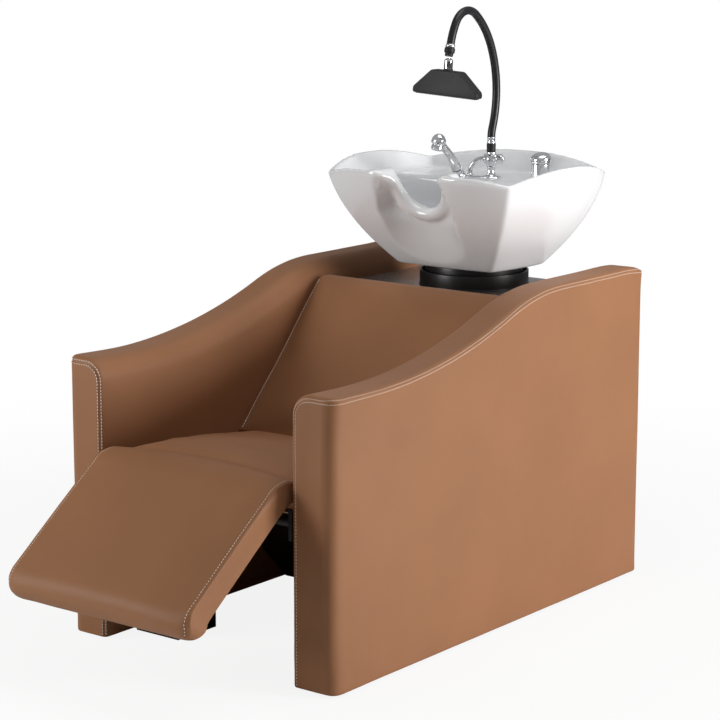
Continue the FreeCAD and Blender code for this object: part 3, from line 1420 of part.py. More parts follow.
def make_spray_arm():
    """Collar, ferrules and hose of the arched spray arm."""
    centre = (NONE, size.tap_along)
    collar_low = size.valve_top + size.swivel_gap
    collar = rod("collar_ring", size.hose_collar_radius, size.hose_collar_height, (*centre, collar_low))
    spigot = rod(
        "collar_spigot", size.swivel_radius, size.swivel_length,
        (*centre, collar_low - size.swivel_length + size.swivel_gap),
    )
    node("hose_collar", fused("hose_collar_solid", [collar, spigot]))
    ferrule_low = collar_low + size.hose_collar_height
    node("hose_ferrule_low", rod(
        "low_ferrule", size.low_ferrule_radius, size.low_ferrule_height, (*centre, ferrule_low),
    ))

    place = point(0, size.tap_along, ferrule_low + size.low_ferrule_height)
    section = Part.Wire([Part.Circle(place, UP, float(size.hose_radius)).toShape()])
    heading = 0
    turned = size.hose_bend_turn_b + size.hose_bend_turn_c + size.hose_bend_turn_d
    last_turn = HALF_TURN + size.hose_bend_turn_a - turned - size.hose_end_lean
    edges = []
    for radius, turn in (
        (size.hose_bend_radius_a, size.hose_bend_turn_a),
        (size.hose_bend_radius_b, -size.hose_bend_turn_b),
        (size.hose_bend_radius_c, -size.hose_bend_turn_c),
        (size.hose_bend_radius_d, -size.hose_bend_turn_d),
        (size.hose_bend_radius_e, -last_turn),
    ):
        sweep = math.radians(float(turn))
        side = math.copysign(float(radius), sweep)
        centre_of_bend = place + FreeCAD.Vector(0, math.cos(heading), -math.sin(heading)) * side
        spots = [
            centre_of_bend - FreeCAD.Vector(0, math.cos(angle), -math.sin(angle)) * side
            for angle in (heading + sweep / 2, heading + sweep)
        ]
        edges.append(Part.Arc(place, spots[0], spots[1]).toShape())
        place = spots[1]
        heading += sweep
        print("hose bend", round(float(radius), 1), "mm, turn", round(float(turn), 1), "degrees")
    hose = Part.Wire(edges).makePipeShell([section], True, False)
    node("spray_hose", made("hose", hose))
    print("hose end", round(place.y, 2), round(place.z, 2))
    return place


def make_spray_head(end):
    """Leaning ferrule and nut at the end of the hose, and the wide spray head on its ball."""
    along = derive("hose_end_along", Size(end.y, str(end.y)), "arm fronts to the hose's end")
    up = derive("hose_end_height", Size(end.z, str(end.z)), "height of the hose's end")
    lean = -size.hose_end_lean

    def down_hose(distance):
        return (NONE, along + distance * sine(lean), up - distance * cosine(lean))

    node("hose_ferrule_high", rod(
        "high_ferrule", size.high_ferrule_radius, size.high_ferrule_height,
        down_hose(size.high_ferrule_height), ACROSS, lean,
    ))
    nut_end = size.high_ferrule_height + size.swivel_nut_height
    nut = many_sided(
        "swivel_nut_blank", 12, size.swivel_nut_radius, size.swivel_nut_height,
        down_hose(nut_end), ACROSS, lean,
    )
    room = size.spray_ball_radius + size.spray_ball_room
    nut_bore = rod(
        "swivel_nut_bore", room, size.spray_ball_depth + room + size.cut_overrun,
        down_hose(nut_end + size.cut_overrun), ACROSS, lean,
    )
    node("swivel_nut", without("swivel_nut_bored", nut, [nut_bore]))

    ball_place = down_hose(nut_end - size.spray_ball_depth)
    ball_along = derive("spray_ball_along", ball_place[1], "arm fronts to the ball of the spray head")
    ball_height = derive("spray_ball_height", ball_place[2], "height of the ball of the spray head")
    roll = size.spray_roll

    def down_neck(distance):
        return (-distance * sine(roll), ball_along, ball_height - distance * cosine(roll))

    foot = size.spray_stem_length + size.spray_neck_height
    ball = doc.addObject("Part::Sphere", "neck_ball")
    bind(ball, "Radius", size.spray_ball_radius)
    set_place(ball, *down_neck(NONE))
    stem = rod(
        "neck_stem", size.spray_stem_radius, size.spray_stem_length,
        down_neck(size.spray_stem_length), ALONG, roll,
    )
    neck = rod("neck_bar", size.spray_neck_radius, size.spray_neck_height, down_neck(foot), ALONG, roll)
    node("spray_neck", fused("neck", [neck, stem, ball]))

    head = padded_outline(
        "spray_block", "XZ_Plane", -size.spray_thickness / 2, size.spray_thickness,
        [
            (-size.spray_half, -size.spray_height),
            (size.spray_half, -size.spray_height),
            (size.spray_half, size.spray_edge - size.spray_height),
            (size.spray_top_half, NONE),
            (-size.spray_top_half, NONE),
            (-size.spray_half, size.spray_edge - size.spray_height),
        ],
    )
    boss = rod("spray_boss", size.spray_boss_radius, size.spray_boss_height, (NONE, NONE, NONE))
    head_place = down_neck(foot + size.spray_boss_height)
    node("spray_head", set_place(fused("spray_block_bossed", [head, boss]), *head_place, ALONG, roll))
    strip_half = size.spray_half - size.nozzle_inset
    strip_depth = size.spray_thickness - 2 * size.nozzle_inset
    drop = size.spray_height + size.nozzle_height
    strip = box(
        "strip", (NONE, NONE, NONE), (2 * strip_half, strip_depth, size.nozzle_height),
    )
    node("nozzle_strip", set_place(
        strip,
        head_place[0] - strip_half * cosine(roll) - drop * sine(roll),
        head_place[1] - strip_depth / 2,
        head_place[2] + strip_half * sine(roll) - drop * cosine(roll),
        ALONG, roll,
    ))


def make_hand_shower():
    """Leaning socket on the ledge, and the hand shower that lifts out of it."""
    across = size.shower_across
    deck = size.deck_height
    lean = size.shower_lean
    centre = (across, size.shower_along)
    start = deck + size.shower_base_height

    def on_axis(distance):
        return (across, size.shower_along - distance * sine(lean), start + distance * cosine(lean))

    shank = rod("shower_shank", size.shank_radius, size.shank_length, (*centre, deck - size.shank_length))
    base = rod("shower_base", size.shower_base_radius, size.shower_base_height, (*centre, deck))
    leaning = rod("socket_bar", size.socket_radius, size.socket_length, on_axis(NONE), ACROSS, lean)
    knee = doc.addObject("Part::Sphere", "socket_knee")
    bind(knee, "Radius", size.socket_radius)
    set_place(knee, *on_axis(NONE))
    below = box(
        "below_deck",
        (across - size.socket_radius, size.shower_along - size.socket_radius, deck - size.socket_radius),
        (2 * size.socket_radius, 2 * size.socket_radius, size.socket_radius),
    )
    plug_room = rod(
        "plug_room", size.plug_radius + size.running_gap, size.plug_length + size.cut_overrun,
        on_axis(size.socket_length - size.plug_length), ACROSS, lean,
    )
    trimmed = without("socket_trimmed", fused("socket_bend", [leaning, knee]), [below])
    solid = fused("socket_solid", [shank, base, trimmed])
    node("shower_socket", without("socket", solid, [plug_room]))

    grip_start = size.socket_length + size.swivel_gap
    grip_end = size.ball_distance - size.ball_radius + size.handle_bite
    grip = doc.addObject("Part::Cone", "grip")
    bind(grip, "Radius1", size.handle_low_radius)
    bind(grip, "Radius2", size.handle_high_radius)
    bind(grip, "Height", grip_end - grip_start)
    set_place(grip, *on_axis(grip_start), ACROSS, lean)
    plug = rod(
        "plug", size.plug_radius, size.plug_length,
        on_axis(grip_start - size.plug_length + size.swivel_gap), ACROSS, lean,
    )
    ball_place = on_axis(size.ball_distance)
    ball_room = doc.addObject("Part::Sphere", "ball_room")
    bind(ball_room, "Radius", size.ball_radius + size.ball_gap)
    set_place(ball_room, *ball_place)
    outlet_room = rod(
        "outlet_room", size.nozzle_radius + size.ball_gap, size.nozzle_reach + size.ball_gap,
        ball_place, ACROSS, size.nozzle_turn,
    )
    handle_solid = fused("handle_solid", [grip, plug])
    node("shower_handle", without("handle", handle_solid, [ball_room, outlet_room]))

    ball = doc.addObject("Part::Sphere", "ball")
    bind(ball, "Radius", size.ball_radius)
    set_place(ball, *ball_place)
    outlet = rod("outlet", size.nozzle_radius, size.nozzle_reach, ball_place, ACROSS, size.nozzle_turn)
    node("shower_head", fused("shower_head_solid", [ball, outlet]))


def make_mixer():
    """Mixer with a turning ring and a domed lever that lifts."""
    centre = (size.mixer_across, size.mixer_along)
    deck = size.deck_height
    shank = rod("mixer_shank", size.shank_radius, size.shank_length, (*centre, deck - size.shank_length))
    foot = rod("mixer_foot", size.mixer_foot_radius, size.mixer_foot_height, (*centre, deck))
    body = rod("mixer_bar", size.mixer_radius, size.mixer_height, (*centre, deck))
    node("mixer_body", fused("mixer_solid", [shank, foot, body]))
    cap_low = deck + size.mixer_height + size.lever_gap
    node("mixer_cap", rod("cap_disc", size.mixer_radius, size.mixer_cap_height, (*centre, cap_low)))
    lever_low = cap_low + size.mixer_cap_height + size.lever_gap
    dome = rod("lever_bar", size.lever_radius, size.lever_height, (*centre, lever_low))
    slant = box(
        "lever_slant", (NONE, NONE, NONE),
        (2 * size.mixer_foot_radius, 3 * size.lever_radius, size.lever_height),
    )
    reach = 3 * size.lever_radius
    set_place(
        slant, size.mixer_across - size.mixer_foot_radius,
        size.mixer_along + size.lever_radius - reach * cosine(size.lever_slope),
        lever_low + size.lever_height - reach * sine(size.lever_slope),
        ACROSS, size.lever_slope,
    )
    node("mixer_lever", without("lever", dome, [slant]))


def write_parts():
    """Check every object and write each sub-part to its own file."""
    doc.recompute()
    for piece in doc.Objects:
        if "Invalid" in piece.State or "Error" in piece.State:
            raise RuntimeError(f"{piece.Name} ({piece.Label}) is {piece.State}")
    os.makedirs("parts", exist_ok=True)
    for piece in nodes:
        if piece.Shape.isNull() or not piece.Shape.isValid():
            raise RuntimeError(f"{piece.Label} has no valid shape")
    for piece in nodes:
        piece.Shape.exportStep(f"parts/{piece.Label}.step")
    print(len(nodes), "sub-parts")


link_run = size.shower_along - size.tap_along
link_reach = math.hypot(link_run.number, size.shower_across.number)
derive("link_reach", Size(
    link_reach,
    f"sqrt({(link_run * link_run + size.shower_across * size.shower_across).formula})",
), "spray valve to hand shower")
derive("link_heading", Size(
    180 + math.degrees(math.atan2(-link_run.number, -size.shower_across.number)),
    f"(180 + atan2({(-link_run).formula}; {(-size.shower_across).formula}) / 1deg)",
), "direction from the valve to the hand shower")
derive(
    "plate_length", size.link_reach - size.shower_base_radius - size.tap_plate_end_gap,
    "plate from the valve's axis",
)

for side_name, side_hand in (("near", 1), ("far", -1)):
    make_arm(side_name, side_hand)
make_seat()
make_backrest()
make_underframe()
make_pivot()
make_legrest()
make_shelf()
make_ring()
make_basin()
make_drain()
make_spray_valve()
make_link_pipe()
hose_end = make_spray_arm()
make_spray_head(hose_end)
make_hand_shower()
make_mixer()
write_parts()
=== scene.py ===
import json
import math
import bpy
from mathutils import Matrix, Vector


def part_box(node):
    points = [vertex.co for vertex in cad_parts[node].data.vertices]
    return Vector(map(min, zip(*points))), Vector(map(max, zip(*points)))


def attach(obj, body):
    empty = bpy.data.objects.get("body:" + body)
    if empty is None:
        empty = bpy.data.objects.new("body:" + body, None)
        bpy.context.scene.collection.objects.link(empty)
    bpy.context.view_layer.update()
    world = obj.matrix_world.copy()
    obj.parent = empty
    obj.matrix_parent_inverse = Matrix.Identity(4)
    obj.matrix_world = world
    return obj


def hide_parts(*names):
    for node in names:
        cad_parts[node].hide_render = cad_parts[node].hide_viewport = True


bl_info = {
    "name": "Salon wash seat",
    "version": (1, 0, 0),
    "blender": (4, 5, 0),
    "location": "View3D > Sidebar > Wash seat",
    "description": "Dresses a reclining wash seat with its basin, taps and spray arm",
    "category": "Object",
}

import bmesh
import bpy
import numpy as np
from mathutils import Matrix, Vector
from mathutils.bvhtree import BVHTree
from mathutils.kdtree import KDTree

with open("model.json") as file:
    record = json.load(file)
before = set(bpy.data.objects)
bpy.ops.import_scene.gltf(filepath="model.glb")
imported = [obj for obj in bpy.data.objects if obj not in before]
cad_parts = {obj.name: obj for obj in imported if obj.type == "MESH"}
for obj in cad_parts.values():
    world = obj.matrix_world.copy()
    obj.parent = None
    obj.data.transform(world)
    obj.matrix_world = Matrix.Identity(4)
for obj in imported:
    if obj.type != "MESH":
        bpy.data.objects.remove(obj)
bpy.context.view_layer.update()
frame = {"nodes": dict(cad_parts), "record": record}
nodes = frame["nodes"]
ARM_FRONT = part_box("arm_cover_near")[0].y
MM = 0.001


def spot(across, along, up):
    """Point from millimetres, with along counted from the front of the arms."""
    return Vector((across * MM, ARM_FRONT + along * MM, up * MM))


# Settings


def length(name, description, default, low, high):
    return bpy.props.FloatProperty(
        name=name, description=description, unit="LENGTH", default=default, min=low, max=high,
    )


def tint(name, description, default):
    return bpy.props.FloatVectorProperty(
        name=name, description=description, subtype="COLOR", size=3, default=default, min=0, max=1,
    )


def power(name, description, default):
    return bpy.props.FloatProperty(
        name=name, description=description, subtype="POWER", default=default, min=0, max=5000,
    )


class LeatherSettings(bpy.types.PropertyGroup):
    """Colour and grain of the covers, and their stitches."""

    tan: tint("Leather", "Main colour of the covers", (0.305, 0.137, 0.062))
    thread: tint("Thread", "Colour of the stitching", (0.90, 0.80, 0.71))
    grain: length("Grain", "Size of one grain cell", 0.0013, 0.0004, 0.006)
    stitch_length: length("Stitch", "Length of one stitch", 0.0052, 0.002, 0.012)
    stitch_pitch: length("Stitch pitch", "Start of one stitch to the start of the next", 0.0066, 0.003, 0.02)


class ArmSettings(bpy.types.PropertyGroup):
    """Sizes of an arm's cover."""

    inner_round: length("Inner edge", "Rounding towards the sitter", 0.044, 0.01, 0.06)
    outer_round: length("Outer edge", "Rounding of the other edges", 0.013, 0.004, 0.03)
    swell: length("Swell", "How far the padding may swell", 0.006, 0, 0.02)


class CushionSettings(bpy.types.PropertyGroup):
    """How the loose padding swells."""

    pressure: bpy.props.FloatProperty(
        name="Pressure", description="Pressure inside a cushion while it fills", default=4, min=0, max=20,
    )
    seat_swell: length("Seat swell", "How far the seat may swell", 0.012, 0, 0.04)
    back_swell: length("Back swell", "How far the backrest may swell", 0.008, 0, 0.04)
    legrest_swell: length("Legrest swell", "How far the legrest may swell", 0.006, 0, 0.03)


class BasinSettings(bpy.types.PropertyGroup):
    """Glaze and rounding of the basin."""

    glaze: tint("Glaze", "Colour of the ceramic", (0.94, 0.945, 0.965))
    grid: length("Grid", "Spacing of the points on its surface", 0.0037, 0.002, 0.01)
    lip_softening: length("Lip ends", "Reach of the smoothing at the ends of the lip", 0.046, 0.01, 0.08)
    passes: bpy.props.IntProperty(
        name="Passes", description="How often its surface is smoothed", default=14, min=0, max=60,
    )


class StageSettings(bpy.types.PropertyGroup):
    """Camera and studio light."""

    lens: bpy.props.FloatProperty(
        name="Lens", description="Focal length", subtype="DISTANCE_CAMERA",
        default=116.983, min=20, max=300,
    )
    key: power("Key light", "Power of the main light", 122)
    fill: power("Fill light", "Power of the soft light", 40)
    top: power("Top light", "Power of the light above", 36)
    world: bpy.props.FloatProperty(
        name="Room", description="Strength of the light from all sides", default=0.07, min=0, max=2,
    )


# Shared helpers

finishes = {}


def link_object(name, data):
    made = bpy.data.objects.new(name, data)
    bpy.context.scene.collection.objects.link(made)
    return made


def finish_piece(name, bm, body, slot_name, node=None, finish=None, crisp=0, smooth=True):
    """Turn a bmesh into a piece that rides on its body; edges sharper than crisp degrees stay crisp."""
    mesh = bpy.data.meshes.new(name)
    for face in bm.faces:
        face.smooth = smooth
    if crisp:
        for edge in bm.edges:
            edge.smooth = edge.calc_face_angle(0) < math.radians(crisp)
    bm.to_mesh(mesh)
    bm.free()
    piece = link_object(name, mesh)
    mesh.materials.append(finishes[finish or slot_name])
    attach(piece, body)
    if node:
        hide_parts(node)
    return piece


def apply_modifiers(piece):
    graph = bpy.context.evaluated_depsgraph_get()
    mesh = bpy.data.meshes.new_from_object(piece.evaluated_get(graph))
    piece.modifiers.clear()
    piece.data = mesh
    mesh.name = piece.name


def points_of(mesh):
    places = np.zeros(len(mesh.vertices) * 3)
    mesh.vertices.foreach_get("co", places)
    return places.reshape(-1, 3)


def move_points(mesh, places):
    mesh.vertices.foreach_set("co", places.ravel())
    mesh.update()


def smoothstep(values):
    values = np.clip(values, 0, 1)
    return values * values * (3 - 2 * values)


# Padded covers

SIDE_SHARES = (0, 0.1, 0.3, 0.6, 1)
CLOTH = {
    "quality": 5, "mass": 0.3, "tension_stiffness": 15, "compression_stiffness": 15, "shear_stiffness": 8,
    "bending_stiffness": 1.5, "use_pressure": True,
}
FILLING_FRAMES = 18
FLAT_FOOT = 3
THREAD_LIFT, THREAD_RADIUS = 0.5, 1.0
STITCHES_AT_ONCE = 40


def lined_block(bm, all_lines):
    """Block whose faces are divided at the given lines on each axis."""
    bmesh.ops.create_cube(bm, size=2)
    for axis, lines in enumerate(all_lines):
        along = [
            edge for edge in bm.edges
            if abs(edge.verts[0].co[axis] - edge.verts[1].co[axis]) > 1.5
        ]
        bmesh.ops.subdivide_edges(bm, edges=along, cuts=len(lines) - 2, use_grid_fill=True)
    for vert in bm.verts:
        vert.co = [
            lines[round((vert.co[axis] + 1) / 2 * (len(lines) - 1))] for axis, lines in enumerate(all_lines)
        ]


def lines_between(low, high, step, edge):
    """Even lines, with closer ones near both ends where a rounding sits."""
    close = [edge * share for share in SIDE_SHARES]
    count = max(1, round((high - low - 2 * edge) / step))
    middle = [low + edge + (high - low - 2 * edge) * place / count for place in range(1, count)]
    return [low + value for value in close] + middle + [high - value for value in reversed(close)]


def square_to_round(dx, dz):
    """Move a point of a corner's square onto its quarter disc."""
    reach = max(abs(dx), abs(dz))
    away = math.hypot(dx, dz)
    if away < 1e-9:
        return dx, dz
    return dx / away * reach, dz / away * reach


def closing(distance, radius):
    """How far a rounding of that radius draws in at a distance from its end."""
    if distance >= radius:
        return 0
    return radius - math.sqrt(max(0, radius * radius - (radius - distance) ** 2))


def filled_places(piece):
    """Where the points of a cushion go when it fills."""
    scene = bpy.context.scene
    cloth = piece.modifiers.new("filling", "CLOTH")
    for name, value in CLOTH.items():
        setattr(cloth.settings, name, value)
    cloth.settings.uniform_pressure_force = scene.wash_seat_cushions.pressure
    cloth.settings.effector_weights.gravity = 0
    cloth.collision_settings.use_collision = False
    cloth.collision_settings.use_self_collision = False
    cloth.point_cache.frame_start = 1
    cloth.point_cache.frame_end = FILLING_FRAMES
    for step in range(1, FILLING_FRAMES + 1):
        scene.frame_set(step)
    graph = bpy.context.evaluated_depsgraph_get()
    filled = points_of(piece.evaluated_get(graph).data)
    piece.modifiers.remove(cloth)
    scene.frame_set(1)
    return filled


def swell(piece, cap, room, standing):
    """Fill a cushion as cloth with air inside, then bring it to its size, with room at its sides and top."""
    rest = points_of(piece.data)
    places = rest
    move = filled_places(piece) - rest
    size = np.linalg.norm(move, axis=1)
    share = cap * np.tanh(size / cap) / np.maximum(size, 1e-9)
    places = rest + move * share[:, None]
    low, high = rest.min(axis=0) - (room, room, 0), rest.max(axis=0) + room
    low_now, high_now = places.min(axis=0), places.max(axis=0)
    places = low + (places - low_now) * (high - low) / (high_now - low_now)
    if standing:
        flat = rest[:, 2] < low[2] + FLAT_FOOT * MM
        places[flat, 2] = rest[flat, 2]
    move_points(piece.data, places)


def even_points(route, pitch):
    """Points at an even pitch along a route, with the direction at each."""
    route = [Vector(place) for place in route]
    spans = [(b - a).length for a, b in zip(route, route[1:])]
    total = sum(spans)
    count = max(1, int(total / pitch))
    made, span, walked = [], 0, 0.0
    for step in range(count):
        target = (step + 0.5) * total / count
        while span < len(spans) - 1 and walked + spans[span] < target:
            walked += spans[span]
            span += 1
        share = (target - walked) / max(spans[span], 1e-9)
        direction = (route[span + 1] - route[span]).normalized()
        made.append((route[span].lerp(route[span + 1], share), direction))
    return made


def press_groove(piece, routes, depth, width):
    """Draw a seam into the surface of a padded piece."""
    line = [place for route in routes for place, _ in even_points(route, width * 0.5)]
    finder = KDTree(len(line))
    for place, point in enumerate(line):
        finder.insert(point, place)
    finder.balance()
    pushed = []
    for vert in piece.data.vertices:
        gap = finder.find(vert.co)[2] / width
        pushed.append(vert.co - vert.normal * depth * math.exp(-gap * gap))
    for vert, place in zip(piece.data.vertices, pushed):
        vert.co = place
    piece.data.update()


def sew(name, piece, routes, body):
    """Rows of short stitches laid on the surface of a piece."""
    settings = bpy.context.scene.wash_seat_leather
    tree = BVHTree.FromObject(piece, bpy.context.evaluated_depsgraph_get())
    thread = Matrix.Diagonal((settings.stitch_length / 2, THREAD_RADIUS * MM, THREAD_RADIUS * MM, 1))
    whole = bmesh.new()
    for route in routes:
        points = even_points(route, settings.stitch_pitch)
        for start in range(0, len(points), STITCHES_AT_ONCE):
            part = bmesh.new()
            for place, direction in points[start:start + STITCHES_AT_ONCE]:
                found, normal, _, _ = tree.find_nearest(place)
                side = direction.cross(normal).normalized()
                forward = normal.cross(side).normalized()
                turn = Matrix((forward, side, normal)).transposed().to_4x4()
                bmesh.ops.create_uvsphere(
                    part, u_segments=6, v_segments=4, radius=1,
                    matrix=Matrix.Translation(found + normal * THREAD_LIFT * MM) @ turn @ thread,
                )
            patch = bpy.data.meshes.new("patch")
            part.to_mesh(patch)
            part.free()
            whole.from_mesh(patch)
            bpy.data.meshes.remove(patch)
    finish_piece(name, whole, body, "tan_leather", finish="thread")


def padded_cover(name, node, body, lines, point_of, cap, room=0, standing=False, groove=None):
    """Closed leather cover: a divided block is formed, filled and rounded, and grooved along its seams."""
    bm = bmesh.new()
    lined_block(bm, lines)
    for vert in bm.verts:
        vert.co = point_of(*vert.co)
    bmesh.ops.recalc_face_normals(bm, faces=bm.faces)
    piece = finish_piece(name, bm, body, "tan_leather", node)
    swell(piece, cap, room, standing)
    rounding = piece.modifiers.new("rounding", "SUBSURF")
    rounding.levels = rounding.render_levels = 1
    if groove:
        seams, depth, width = groove
        apply_modifiers(piece)
        press_groove(piece, seams, depth * MM, width * MM)
    return piece


# Turned and swept pieces


def joined_to(verts):
    """All vertices that edges join to the given ones, with these."""
    group = set(verts)
    stack = list(verts)
    while stack:
        for edge in stack.pop().link_edges:
            for vert in edge.verts:
                if vert not in group:
                    group.add(vert)
                    stack.append(vert)
    return group


def rounded_profile(points, radius, steps):
    """Profile whose inner corners are rounded."""
    made = [points[0]]
    for before, here, after in zip(points, points[1:], points[2:]):
        a, b, c = Vector(before), Vector(here), Vector(after)
        reach = min(radius, (a - b).length * 0.45, (c - b).length * 0.45)
        start = b + (a - b).normalized() * reach
        end = b + (c - b).normalized() * reach
        for step in range(steps + 1):
            t = step / steps
            made.append(tuple(start * (1 - t) ** 2 + b * 2 * t * (1 - t) + end * t * t))
    made.append(points[-1])
    return made


def spun(bm, profile, rounding, place, sides=40, steps=3, closed=False):
    """Turn a profile of radius and height, in millimetres, about the Z axis of a place."""
    if rounding:
        profile = rounded_profile(profile, rounding, steps)
    if closed:
        profile = profile[:-1]
    verts = [bm.verts.new((radius * MM, 0, height * MM)) for radius, height in profile]
    edges = [bm.edges.new(pair) for pair in zip(verts, verts[1:])]
    if closed:
        edges.append(bm.edges.new((verts[-1], verts[0])))
    bmesh.ops.spin(
        bm, geom=verts + edges, cent=(0, 0, 0), axis=(0, 0, 1), dvec=(0, 0, 0),
        angle=math.tau, steps=sides, use_merge=True, use_duplicate=False,
    )
    group = list(joined_to(verts))
    bmesh.ops.remove_doubles(bm, verts=group, dist=1e-6)
    group = [vert for vert in group if vert.is_valid]
    faces = {face for vert in group for face in vert.link_faces}
    bmesh.ops.recalc_face_normals(bm, faces=list(faces))
    bmesh.ops.transform(bm, matrix=place, verts=group)
    return group


def peg(bm, radius, low, high, place, sides=24):
    """Plain round pin that goes down into the piece below."""
    spun(bm, [(0, low), (radius, low), (radius, high), (0, high)], 0, place, sides)


def round_edges(bm, edges, reach, segments):
    return bmesh.ops.bevel(
        bm, geom=list(edges), offset=reach * MM, segments=segments, affect="EDGES", profile=0.5, material=-1,
    )


def slab(bm, place, size, reach, segments):
    """Block of a size in millimetres, with rounded edges."""
    scale = Matrix.Diagonal((*(side * MM for side in size), 1))
    verts = bmesh.ops.create_cube(bm, size=1, matrix=place @ scale)["verts"]
    round_edges(bm, {edge for vert in verts for edge in vert.link_edges}, reach, segments)


def swept(bm, route, radii, sides):
    """Tube along a route, with a radius in millimetres at each point and closed ends."""
    rings = []
    across = None
    for place, centre in enumerate(route):
        before = route[max(0, place - 1)]
        after = route[min(len(route) - 1, place + 1)]
        direction = (after - before).normalized()
        if across is None:
            across = Vector((1, 0, 0)) if abs(direction.x) < 0.9 else Vector((0, 1, 0))
        across = (across - direction * across.dot(direction)).normalized()
        turn = Matrix((across, direction.cross(across), direction)).transposed().to_4x4()
        rings.append(bmesh.ops.create_circle(
            bm, cap_ends=False, radius=radii[place] * MM, segments=sides,
            matrix=Matrix.Translation(centre) @ turn,
        )["verts"])
    for low, high in zip(rings, rings[1:]):
        edges = [
            edge for ring in (low, high) for vert in ring for edge in vert.link_edges
            if edge.verts[0] in ring and edge.verts[1] in ring
        ]
        bmesh.ops.bridge_loops(bm, edges=list(dict.fromkeys(edges)))
    for ring in (rings[0], rings[-1]):
        bm.faces.new(ring)
    faces = {face for ring in rings for vert in ring for face in vert.link_faces}
    bmesh.ops.recalc_face_normals(bm, faces=list(faces))


def tilted(place, direction):
    """Frame at a place whose Z axis points in a direction."""
    turn = Vector(direction).normalized().to_track_quat("Z", "Y").to_matrix().to_4x4()
    return Matrix.Translation(place) @ turn


# Materials


def fill_sockets(tree, node, sockets):
    """Give each named input its value, or a link when it is given another node's output."""
    for name, value in sockets.items():
        if isinstance(value, bpy.types.NodeSocket):
            tree.links.new(value, node.inputs[name])
        else:
            node.inputs[name].default_value = value


def add_node(tree, kind, sockets, **attributes):
    node = tree.nodes.new("ShaderNode" + kind)
    for name, value in attributes.items():
        setattr(node, name, value)
    fill_sockets(tree, node, sockets)
    return node


def plain_material(name):
    """New material with its tree, its shader and the coordinates that its patterns read."""
    material = bpy.data.materials.new(name)
    material.use_nodes = True
    tree = material.node_tree
    where = add_node(tree, "TexCoord", {}).outputs["Object"]
    return material, tree, tree.nodes["Principled BSDF"], where


def noise_on(tree, where, scale, detail=3, roughness=0.5):
    sockets = {"Scale": scale, "Detail": detail, "Roughness": roughness, "Vector": where}
    return add_node(tree, "TexNoise", sockets).outputs["Fac"]


def spread(tree, value, low, high):
    return add_node(tree, "MapRange", {"To Min": low, "To Max": high, "Value": value}).outputs["Result"]


def ramp_between(tree, value, *colours):
    ramp = add_node(tree, "ValToRGB", {"Fac": value})
    for element, colour, position in zip(ramp.color_ramp.elements, colours, (0.3, 0.7)):
        element.color = (*colour, 1)
        element.position = position
    return ramp.outputs["Color"]


def bump_on(tree, height, strength, distance, under=None):
    sockets = {"Strength": strength, "Distance": distance, "Height": height}
    if under:
        sockets["Normal"] = under
    return add_node(tree, "Bump", sockets).outputs["Normal"]


def shaded(colour, factor):
    return tuple(min(1, part * factor) for part in colour)


def mottled(name, dark, light, cloud, gloss, relief, sockets):
    """Finish with a clouded colour, an uneven gloss and a fine relief."""
    material, tree, shader, where = plain_material(name)
    fill_sockets(tree, shader, {
        "Base Color": ramp_between(tree, noise_on(tree, where, *cloud), dark, light),
        "Roughness": spread(tree, noise_on(tree, where, *gloss[:2]), *gloss[2:]),
        "Normal": bump_on(tree, noise_on(tree, where, *relief[:2]), *relief[2:]),
        **sockets,
    })
    return material


def dark_finish(name, colour, rough, grain_scale, grain_depth, strength=0.25, coat=0.0):
    """Dark finish with its own fine texture."""
    return mottled(
        name, shaded(colour, 0.85), shaded(colour, 1.15), cloud=(9, 3),
        gloss=(140, 3, rough - 0.05, rough + 0.06), relief=(grain_scale, 3, strength, grain_depth),
        sockets={"Specular IOR Level": 0.36, "Coat Weight": coat, "Coat Roughness": 0.2},
    )


def leather_finish(base, grain):
    """Leather with round grain cells, fine pores and soft unevenness."""
    material, tree, shader, where = plain_material("tan_leather_grained")
    cells = add_node(tree, "TexVoronoi", {"Scale": 1 / grain, "Vector": where}, feature="DISTANCE_TO_EDGE")
    rounded_cells = spread(tree, cells.outputs["Distance"], 0, 1)
    first = bump_on(tree, rounded_cells, 0.16, 0.00016)
    second = bump_on(tree, noise_on(tree, where, 2600, 2), 0.10, 0.00008, first)
    fill_sockets(tree, shader, {
        "Base Color": ramp_between(tree, noise_on(tree, where, 5, 2), shaded(base, 0.95), shaded(base, 1.05)),
        "Roughness": spread(tree, noise_on(tree, where, 60, 4), 0.50, 0.60),
        "Normal": bump_on(tree, noise_on(tree, where, 38, 3), 0.16, 0.0012, second),
        "Specular IOR Level": 0.26, "Sheen Weight": 0.03, "Sheen Roughness": 0.5,
    })
    return material


def thread_finish(base):
    material, tree, shader, where = plain_material("sewing_thread")
    twist = noise_on(tree, where, 900, 2)
    fill_sockets(tree, shader, {
        "Base Color": ramp_between(tree, twist, shaded(base, 0.85), shaded(base, 1.1)),
        "Normal": bump_on(tree, twist, 0.3, 0.0002), "Roughness": 0.6, "Sheen Weight": 0.2,
    })
    return material


def glaze_finish(base):
    return mottled(
        "white_glazed_ceramic", shaded(base, 0.985), shaded(base, 1.01),
        cloud=(3, 2), gloss=(90, 2, 0.05, 0.10), relief=(14, 1, 0.05, 0.002),
        sockets={
            "Subsurface Weight": 0.35, "Subsurface Radius": (1, 1, 1), "Subsurface Scale": 0.03, "IOR": 1.5,
            "Coat Weight": 0.5, "Coat Roughness": 0.04,
        },
    )


def plywood_finish():
    """Birch plywood with its grain drawn out along the X axis."""
    material, tree, shader, where = plain_material("birch_plywood")
    stretch = add_node(tree, "Mapping", {"Scale": (1, 12, 12), "Vector": where})
    rings = noise_on(tree, stretch.outputs["Vector"], 14, 6, 0.65)
    fill_sockets(tree, shader, {
        "Base Color": ramp_between(tree, rings, (0.42, 0.27, 0.15), (0.62, 0.45, 0.28)),
        "Normal": bump_on(tree, rings, 0.2, 0.0004), "Roughness": 0.6,
    })
    return material


